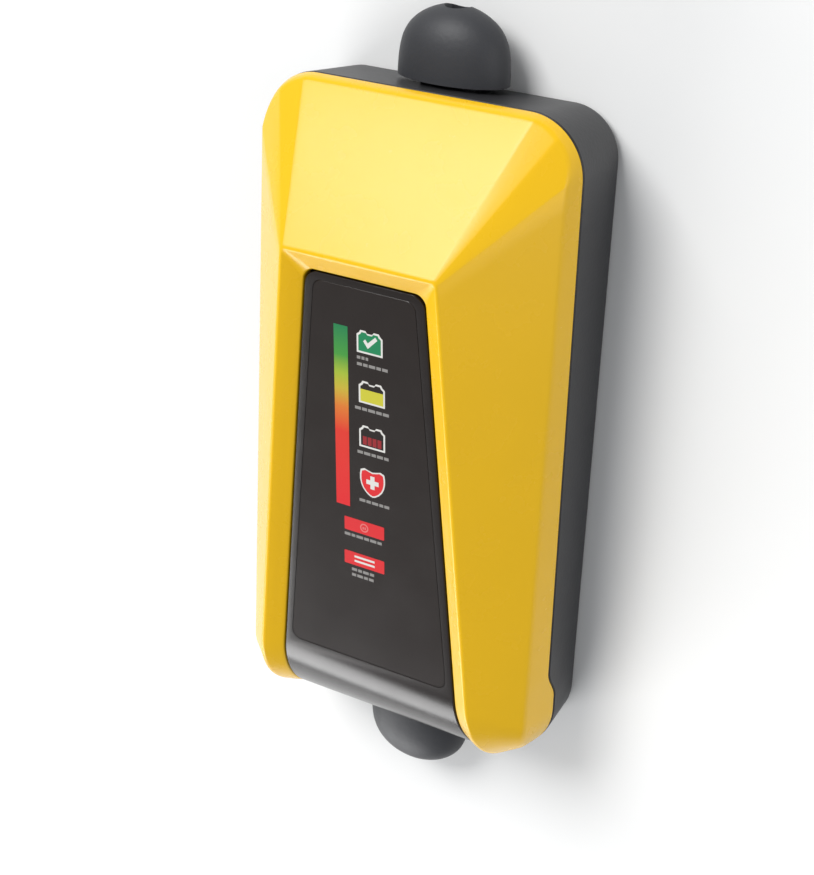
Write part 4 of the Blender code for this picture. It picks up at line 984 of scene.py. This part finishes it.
# ---- Display panel ----
# Satin black moulding that fills the horseshoe frame and rolls over the output end. A thin flange along its edges is
# held under the cover's lip; its face has a shallow bed for the printed film and six holes for the lights.
panel_plastic = moulding(
    "panel_plastic", (0.014, 0.0105, 0.0090), 0.25, drift=0.08, patch=0.04, grain=2600.0, depth=0.000008,
    Specular_IOR_Level=0.45)
panel_flange = 0.0015
panel_flange_thickness = 0.0011
overlay_thickness = 0.0004
overlay_margin = 0.0016
overlay_corner = 0.0018
film_play = 0.00007
plate_thickness = 0.0016
panel_corner = 0.0028
pocket_half = 0.0045
pocket_end = 0.005
pocket_depth = 0.006
light_hole = 0.0016
bed_top = 0.003
panel_setbacks = (0.00025, 0.00005, 0.00005, 0.00005)
lip_inset, lip_depth = band_insets[1], band_depths[1]
light_rows = [0.0204, 0.0112, 0.0026, -0.0058, -0.0150, -0.0218]
light_column = 0.0014
slope_angle = math.atan(ridge_slope)
stretch = 1 / math.cos(slope_angle)
display_middle = ridge_height(0) - lip_depth


def on_display(made):
    """Turns a piece drawn flat in the display's plane about X by the slope, and lifts it to the display's height."""
    x, y, z = points_of(made.data).T
    rise, run = math.sin(slope_angle), math.cos(slope_angle)
    leaned = np.stack([x, y * run - z * rise, display_middle + y * rise + z * run], -1)
    made.data.vertices.foreach_set("co", leaned.astype(np.float32).ravel())
    made.data.update()
    return made


def panel_half(y):
    """Half width of the panel at y, a clearance inside the frame's lip."""
    return ridge_reach(y) - lip_inset - gap


def display_plan(margin, radius, count=9):
    """Plan of the display's flat part, inset by margin: a tapered shape with round corners."""
    low, high = (end_start_y + margin) * stretch, (ridge_top_y - lip_inset - margin) * stretch
    narrow, wide = panel_half(high) - margin, panel_half(low) - margin
    right = np.concatenate([
        arc(radius, (wide - radius, low + radius), -90, 0, count),
        arc(radius, (narrow - radius, high - radius), 0, 90, count),
    ])
    return np.concatenate([right, right[::-1] * (-1, 1)])


def plate(name, outline, low, high, edge=0.0):
    """A flat plate between two heights. Its top edge is eased by a small inset ring."""
    centre = outline.mean(axis=0)
    rings = [ring(outline, low), ring(outline, high - edge)]
    if edge:
        span = np.linalg.norm(outline - centre, axis=1, keepdims=True)
        rings.append(ring(outline + (centre - outline) * edge / span, high))
    return shell(name, rings)


def make_display_panel():
    """T-shaped cross-sections, up the roll and along the slope, that narrow round the rounded top edge."""
    under = lip_depth + lip_thickness + gap
    depths = (lip_depth, under, under + panel_flange_thickness)
    top = ridge_top_y - lip_inset - gap
    radius = panel_corner - gap
    low_width = panel_half(-half_length)
    spots, widths = [], []
    for turn in np.linspace(0, 90, END + 1):
        spots.append([rolled(low_width, turn, depth) for depth in depths])
        widths.append(panel_half(spots[-1][0][0]))
    slope = list(np.linspace(end_start_y, top - radius, 24)[1:])
    bend = np.radians(np.linspace(6, 84, 14))
    for y in slope + list(top - radius + radius * np.sin(bend)):
        past = max(y - (top - radius), 0) / radius
        spots.append([(y, ridge_height(y) - depth) for depth in depths])
        widths.append(panel_half(y) - radius * (1 - math.sqrt(1 - past ** 2)))
    rows = np.array([(0, 0), (0, 1), (1, 1), (1, 2)])
    spots, widths = np.array(spots, float), np.array(widths)[:, None]
    x = widths + rows[:, 0] * panel_flange
    right = np.stack([x, spots[:, rows[:, 1], 0], spots[:, rows[:, 1], 1]], -1)
    sections = np.concatenate([right, right[:, ::-1] * (-1, 1, 1)], 1)
    panel = shell("display_panel_moulding", eased(sections, panel_setbacks + panel_setbacks[::-1], 4))
    bed = -overlay_thickness - gap
    floor_under = bed - plate_thickness
    middle, half = (light_rows[0] + light_rows[-1]) / 2 * stretch, (light_rows[0] - light_rows[-1]) * stretch / 2
    pocket = standing((light_column, middle), pocket_half, half + pocket_end, floor_under - pocket_depth, floor_under)
    tools = [
        plate("bed", display_plan(overlay_margin - film_play, overlay_corner + film_play), bed, bed_top),
        block("pocket", *pocket),
    ]
    for row in light_rows:
        centre = (light_column, row * stretch, 0)
        tools.append(rod("light_hole", light_hole, floor_under - cut_over, cut_over, centre, count=24))
    return worked(panel, removed=[on_display(tool) for tool in tools])


placed(make_display_panel(), panel_plastic, "panel_plastic", "display_panel", crease=40)

# ---- Printed film ----
# Glossy polyester film, printed on its underside and laid in the panel's bed. Its marks are a charge scale that runs
# from green to red, three battery signs, a shield with a cross, two red bars and grey rows in place of captions.
film_black = (0.0160, 0.0115, 0.0095)
film_edge = 0.00008
overlay_film = moulding(
    "overlay_film", film_black, 0.20, drift=0.06, patch=0.03, grain=500.0, depth=0.000004, Specular_IOR_Level=0.45)
film = plate("display_film", display_plan(overlay_margin, overlay_corner), -overlay_thickness, 0.0, film_edge)
placed(on_display(film), overlay_film, "overlay_film", "display_overlay", crease=25)
ink_low, ink_high, ink_step = 0.000005, 0.00003, 0.000012


def ink(name, outlines, finish, level=0):
    """Thin plates of ink on the film, joined into one piece: one closed plate for each plan outline."""
    low, high = ink_low, ink_high + level * ink_step
    points, faces, start = [], [], 0
    for outline in outlines:
        plan = np.asarray(outline, float)
        if np.cross(np.roll(plan, -1, 0) - plan, np.roll(plan, 1, 0) - plan).sum() > 0:
            plan = plan[::-1]
        count = len(plan)
        points += [ring(plan, low), ring(plan, high)]
        faces += [tuple(start + face) for face in grid_faces(2, count)]
        faces += [tuple(range(start + count - 1, start - 1, -1)), tuple(range(start + count, start + 2 * count))]
        start += 2 * count
    return placed(on_display(piece_of(name, np.concatenate(points), faces)), finish, "overlay_film")


def bar(x0, y0, x1, y1, radius=0.0):
    """A rectangle in the display's plane, with quarter-circle corners where a radius is given."""
    if not radius:
        return np.array([(x0, y0), (x1, y0), (x1, y1), (x0, y1)])
    return rounded_plan((x1 - x0) / 2, (y1 - y0) / 2, radius, 6) + ((x0 + x1) / 2, (y0 + y1) / 2)


def battery_plan(x0, y0, x1, y1, inset=0.0):
    """A battery sign: a box with two terminals on its top edge, each with sloping shoulders."""
    share = np.array([
        (0.0, 0.0), (1.0, 0.0), (1.0, 0.8), (0.90, 0.9), (0.86, 1.0), (0.66, 1.0), (0.60, 0.9), (0.40, 0.9),
        (0.34, 1.0), (0.14, 1.0), (0.10, 0.9), (0.0, 0.8)])
    return (x0 + inset, y0 + inset) + share * (x1 - x0 - 2 * inset, y1 - y0 - 2 * inset)


def shield_plan(x, y, wide, high, inset=0.0):
    """A shield: a top edge that dips at its middle, sides that bow out, and a point below."""
    right = np.array([
        (0.0, 0.42), (0.16, 0.455), (0.32, 0.50), (0.47, 0.44), (0.50, 0.28), (0.50, 0.10), (0.46, -0.08),
        (0.38, -0.24), (0.25, -0.38), (0.10, -0.475), (0.0, -0.50)])
    whole = np.concatenate([right, right[-2:0:-1] * (-1, 1)])
    return (x, y) + whole * (wide - 2 * inset, high - 2 * inset)


def caption_plans(x, y, widths, high=0.00055, space=0.00022):
    """A row of short bars of different widths, as a caption looks from a distance."""
    starts = x + np.concatenate([[0], np.cumsum(np.array(widths) + space)[:-1]])
    return [bar(start, y, start + width, y + high) for start, width in zip(starts, widths)]


def printed(name, colour, gloss=0.22):
    """Printed ink: the moulded surface with hardly any grain."""
    return moulding(
        name, colour, gloss, drift=0.05, patch=0.03, grain=900.0, depth=0.000001, Specular_IOR_Level=0.45)


white_ink = printed("white_ink", (0.62, 0.61, 0.58))
caption_ink = printed("caption_ink", (0.23, 0.22, 0.21))
green_ink = printed("green_ink", (0.010, 0.19, 0.075))
yellow_ink = printed("yellow_ink", (0.50, 0.47, 0.035))
red_ink = printed("red_ink", (0.60, 0.018, 0.022))
dark_red_ink = printed("dark_red_ink", (0.26, 0.016, 0.020))
film_ink = printed("film_ink", film_black, 0.20)
scale_x = (-0.0060, -0.0032)
scale_y = (-0.0115, 0.0225)
scale_colours = [
    (0.0, (0.62, 0.016, 0.020)), (0.42, (0.60, 0.03, 0.016)), (0.56, (0.58, 0.16, 0.02)), (0.66, (0.46, 0.36, 0.03)),
    (0.74, (0.30, 0.40, 0.03)), (0.84, (0.05, 0.26, 0.04)), (1.0, (0.012, 0.17, 0.06)),
]


def scale_ink_material():
    """Ink of the charge scale: a colour ramp along Y, from red through orange and yellow to green."""
    material = printed("scale_ink", (0.5, 0.5, 0.05))
    tree = material.node_tree
    split = add_node(tree, "SeparateXYZ", {"Vector": add_node(tree, "TexCoord").outputs["Object"]})
    spread = add_node(tree, "MapRange", {"Value": split.outputs["Y"], "From Min": scale_y[0], "From Max": scale_y[1]})
    ramp = add_node(tree, "ValToRGB", {"Fac": spread.outputs["Result"]})
    stops = ramp.color_ramp.elements
    for position, _ in scale_colours[1:-1]:
        stops.new(position)
    for stop, (position, colour) in zip(stops, scale_colours):
        stop.position, stop.color = position, (*colour, 1)
    tree.links.new(ramp.outputs["Color"], tree.nodes["toned"].inputs["A"])
    return material


ink("charge_scale", [bar(scale_x[0], scale_y[0], scale_x[1], scale_y[1])], scale_ink_material())
battery_boxes = [
    (-0.0014, 0.0184, 0.0037, 0.0225), (-0.0011, 0.0092, 0.0041, 0.0133), (-0.0011, 0.0009, 0.0041, 0.0050)]
shield = (0.0015, -0.0058, 0.0051, 0.0053)
line, shield_line = 0.00034, 0.0003
half_charge, low_charge = 0.0026, 0.0021
cell_side, cell_foot = 0.0003, 0.0002
stroke_wide, stroke_high = 0.0002, 0.0005
ink("battery_outlines", [battery_plan(*box) for box in battery_boxes] + [shield_plan(*shield)], white_ink)
ink("battery_insides", [battery_plan(*box, line) for box in battery_boxes[1:]], film_ink, 1)
ink("full_battery_fill", [battery_plan(*battery_boxes[0], line)], green_ink, 1)
x0, y0, x1, y1 = battery_boxes[1]
ink("half_battery_fill", [bar(x0 + line, y0 + line, x1 - line, y0 + half_charge)], yellow_ink, 2)
x0, y0, x1, y1 = battery_boxes[2]
cell = (x1 - x0 - 2 * line - 2 * cell_side) / 4
cells = [x0 + line + cell_side + cell * (number + 0.1) for number in range(4)]
cells = [bar(x, y0 + line + cell_foot, x + 0.8 * cell, y0 + low_charge) for x in cells]
ink("low_battery_fill", cells, dark_red_ink, 2)
tick = [(-0.0001, 0.0206), (0.0003, 0.0210), (0.0008, 0.0204), (0.0023, 0.0218), (0.0027, 0.0213), (0.0008, 0.0194)]
ink("tick", [tick], white_ink, 2)
ink("shield_inside", [shield_plan(*shield, shield_line)], red_ink, 1)
cross_middle, arm, thick = (0.0015, -0.0056), 0.00125, 0.00042
cross = np.array([
    (-thick, -arm), (thick, -arm), (thick, -thick), (arm, -thick), (arm, thick), (thick, thick),
    (thick, arm), (-thick, arm), (-thick, thick), (-arm, thick), (-arm, -thick), (-thick, -thick)])
ink("cross", [cross + cross_middle], white_ink, 2)
fault_bars = [bar(-0.0044, -0.0163, 0.0038, -0.0137, 0.0002), bar(-0.0045, -0.0231, 0.0038, -0.0205, 0.0002)]
ink("fault_bars", fault_bars, red_ink)
fault_spot = (-0.0003, -0.0150)
disc_radii = (0.00085, 0.00060)
pale_red_ink, stroke_ink = printed("pale_red_ink", (0.62, 0.16, 0.15)), printed("stroke_ink", (0.62, 0.2, 0.19))
ink("fault_disc", [arc(disc_radii[0], fault_spot, 0, 345, 24)], pale_red_ink, 1)
ink("fault_disc_middle", [arc(disc_radii[1], fault_spot, 0, 345, 24)], red_ink, 2)
strokes = [bar(x, -0.0153, x + stroke_wide, -0.0153 + stroke_high) for x in (-0.0006, -0.0002)]
ink("fault_strokes", strokes, stroke_ink, 3)
ink("reversed_strokes", [bar(-0.0024, y, 0.0018, y + 0.0004) for y in (-0.0215, -0.0224)], white_ink, 1)
captions = [
    (-0.0014, 0.0172, (0.0007, 0.0006, 0.0005)),
    (-0.0014, 0.0160, (0.0010, 0.0009, 0.0013, 0.0009, 0.0011)),
    (-0.0019, 0.0078, (0.0012, 0.0010, 0.0014, 0.0011, 0.0012)),
    (-0.0015, -0.0005, (0.0011, 0.0013, 0.0009, 0.0012, 0.0009)),
    (-0.0012, -0.0098, (0.0012, 0.0009, 0.0013, 0.0008, 0.0010)),
    (-0.0044, -0.0174, (0.0012, 0.0008, 0.0014, 0.0010, 0.0013, 0.0009)),
    (-0.0030, -0.0243, (0.0011, 0.0008, 0.0012, 0.0009)),
    (-0.0030, -0.0254, (0.0009, 0.0012, 0.0008, 0.0010)),
]
ink("captions", [plan for x, y, widths in captions for plan in caption_plans(x, y, widths)], caption_ink)

# ---- Light guide ----
# One moulding of clear acrylic: a bar behind the panel with six posts that bring the lights up under the film.
clear_acrylic = moulding(
    "clear_acrylic", (0.90, 0.93, 0.93), 0.06, drift=0.01, patch=0.02, grain=300.0, depth=0.000004,
    Transmission_Weight=1.0, IOR=1.49)
finished(clear_acrylic, "light_guide")

# ---- Display board and its lights ----
# A small board pressed up behind the light guide, with a surface-mounted light under each post and a header whose pins
# reach down to the main board.
finished(solder_mask, "display_board")
led_white = moulding("led_housing", (0.74, 0.72, 0.62), 0.35, drift=0.03, patch=0.04, grain=1500.0, depth=0.000008)
led_lens = moulding(
    "led_lens", (0.72, 0.60, 0.16), 0.15, drift=0.08, patch=0.03, grain=900.0, depth=0.000004, Coat_Weight=0.4)
led_half_x, led_half_y, led_height = 0.0010, 0.0008, 0.0010
led_edge = 0.0001
header_edge = 0.0002
lens_rim_x, lens_rim_y, lens_height = 0.0003, 0.0002, 0.0003
guide_thickness = 0.0020
led_top = -overlay_thickness - gap - plate_thickness - gap - guide_thickness - gap
for number, row in enumerate(light_rows, 1):
    node, at = f"status_led_{number}", (light_column, row * stretch)
    body = standing(at, led_half_x, led_half_y, led_top - led_height, led_top - led_edge)
    placed(on_display(soft_block(node + "_housing", *body, led_edge)), led_white, "led_epoxy", node)
    body = standing(at, led_half_x - lens_rim_x, led_half_y - lens_rim_y, led_top - lens_height, led_top)
    placed(on_display(soft_block(node + "_lens", *body, led_edge)), led_lens, "led_epoxy")
placed(node_block("link_header", header_edge), black_epoxy, "black_moulding", "link_header")

# ---- Rating label ----
# A silver polyester label in the bed of the base. Its marks are a plain frame, rules and rows of grey bars; it carries
# no words or numbers.
label_film = moulding(
    "label_film", (0.52, 0.53, 0.54), 0.33, drift=0.03, patch=0.05, grain=1500.0, depth=0.000006, Metallic=0.35)
label_ink = moulding("label_ink", (0.03, 0.03, 0.033), 0.45, drift=0.06, patch=0.04, grain=1500.0, depth=0.000002)
label_corner = 0.002
outline = rounded_plan(label_high.x, label_high.y, label_corner)
film = shell("rating_label_film", [ring(outline, label_low.z), ring(outline, label_high.z)])
placed(film, label_film, "label", "rating_label")
print_low, print_high = label_low.z - 0.00003, label_low.z + 0.00002
margin, rule, rule_inset, row_inset = 0.0020, 0.00025, 0.001, 0.002
edge_x, edge_y = label_high.x - margin, label_high.y - margin
rules = [
    (-edge_x, -edge_y, edge_x, -edge_y + rule), (-edge_x, edge_y - rule, edge_x, edge_y),
    (-edge_x, -edge_y + rule, -edge_x + rule, edge_y - rule), (edge_x - rule, -edge_y + rule, edge_x, edge_y - rule),
]
rules += [(-edge_x + rule_inset, y, edge_x - rule_inset, y + rule) for y in (0.012, -0.002, -0.014)]
rows = [
    (0.72, 0.0215), (0.55, 0.0185), (0.86, 0.0155), (0.64, 0.0088), (0.40, 0.0058), (0.80, 0.0028),
    (0.58, -0.0052), (0.90, -0.0082), (0.48, -0.0112), (0.70, -0.0172), (0.62, -0.0202), (0.35, -0.0228),
]
row_height = 0.0009
for width, y in rows:
    words = 3 + int(width * 4)
    step = (2 * edge_x - 2 * row_inset) * width / words
    for word in range(words):
        x = -edge_x + row_inset + word * step
        rules.append((x, y, x + step * (0.62 + 0.22 * ((word * 7 + words) % 3) / 2), y + row_height))
marks = [((x0, y0, print_low), (x1, y1, print_high)) for x0, y0, x1, y1 in rules]
many_blocks("rating_label_marks", marks, label_ink, "label")

# ---- Floor, lights and camera ----
# A plain pale sweep under the charger, a large soft light over the mains end, a weaker one on the right, one low over
# the output end, and a camera in front of it to the right and above.
floor_half, floor_top, floor_bottom = 8.0, -0.0001, -0.02
floor = block("floor", (-floor_half, -floor_half, floor_bottom), (floor_half, floor_half, floor_top))
floor_paint = moulding("floor_paint", (0.80, 0.80, 0.79), 0.55, drift=0.01, grain=400.0, depth=0.00001)
floor.data.materials.append(floor_paint)
floor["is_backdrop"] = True


def held(name, data):
    """An object that holds a light or a camera, in the scene."""
    holder = bpy.data.objects.new(name, data)
    bpy.context.scene.collection.objects.link(holder)
    return holder


def soft_light(name, direction, size, power):
    """An area light that stands off the charger in a direction and faces it."""
    lamp = bpy.data.lights.new(name, "AREA")
    lamp.shape = "RECTANGLE"
    lamp.size, lamp.size_y = size
    lamp.energy = power
    holder = held(name, lamp)
    away = np.array(direction, float)
    away /= np.linalg.norm(away)
    holder.location = away * light_distance
    holder.rotation_euler = Vector(away).to_track_quat("Z", "Y").to_euler()


light_distance = 2.4
soft_light("key_light", (-0.30, 0.66, 0.70), (1.3, 1.3), 57.0)
soft_light("fill_light", (0.95, 0.05, 0.40), (1.5, 1.5), 13.0)
soft_light("end_light", (-0.52, -0.78, 0.36), (2.0, 1.1), 46.0)
world = bpy.data.worlds.new("studio")
world.use_nodes = True
sky = world.node_tree.nodes["Background"].inputs
sky["Color"].default_value = (0.92, 0.95, 1.0, 1.0)
sky["Strength"].default_value = 0.38
bpy.context.scene.world = world
bpy.context.scene.view_settings.view_transform = "Standard"

camera_place = np.array([0.1578, 0.1295, 0.2793])
camera_right = np.array([0.88919, 0.08051, -0.45039])
aim = np.array([0.0, -0.002, 0.016])
camera_back = camera_place - aim
camera_back /= np.linalg.norm(camera_back)
camera_up = np.cross(camera_back, camera_right)
camera_up /= np.linalg.norm(camera_up)
camera_side = np.cross(camera_up, camera_back)
camera = bpy.data.cameras.new("camera")
camera.lens = 78.0
camera.clip_start = 0.01
holder = held("camera", camera)
turn = np.eye(4)
turn[:3] = np.stack([camera_side, camera_up, camera_back, camera_place], 1)
holder.matrix_world = Matrix(turn)
bpy.context.scene.camera = holder

made_low, made_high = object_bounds()
sizes = {"cad": [list(cad_low), list(cad_high)], "visual": [list(made_low), list(made_high)]}
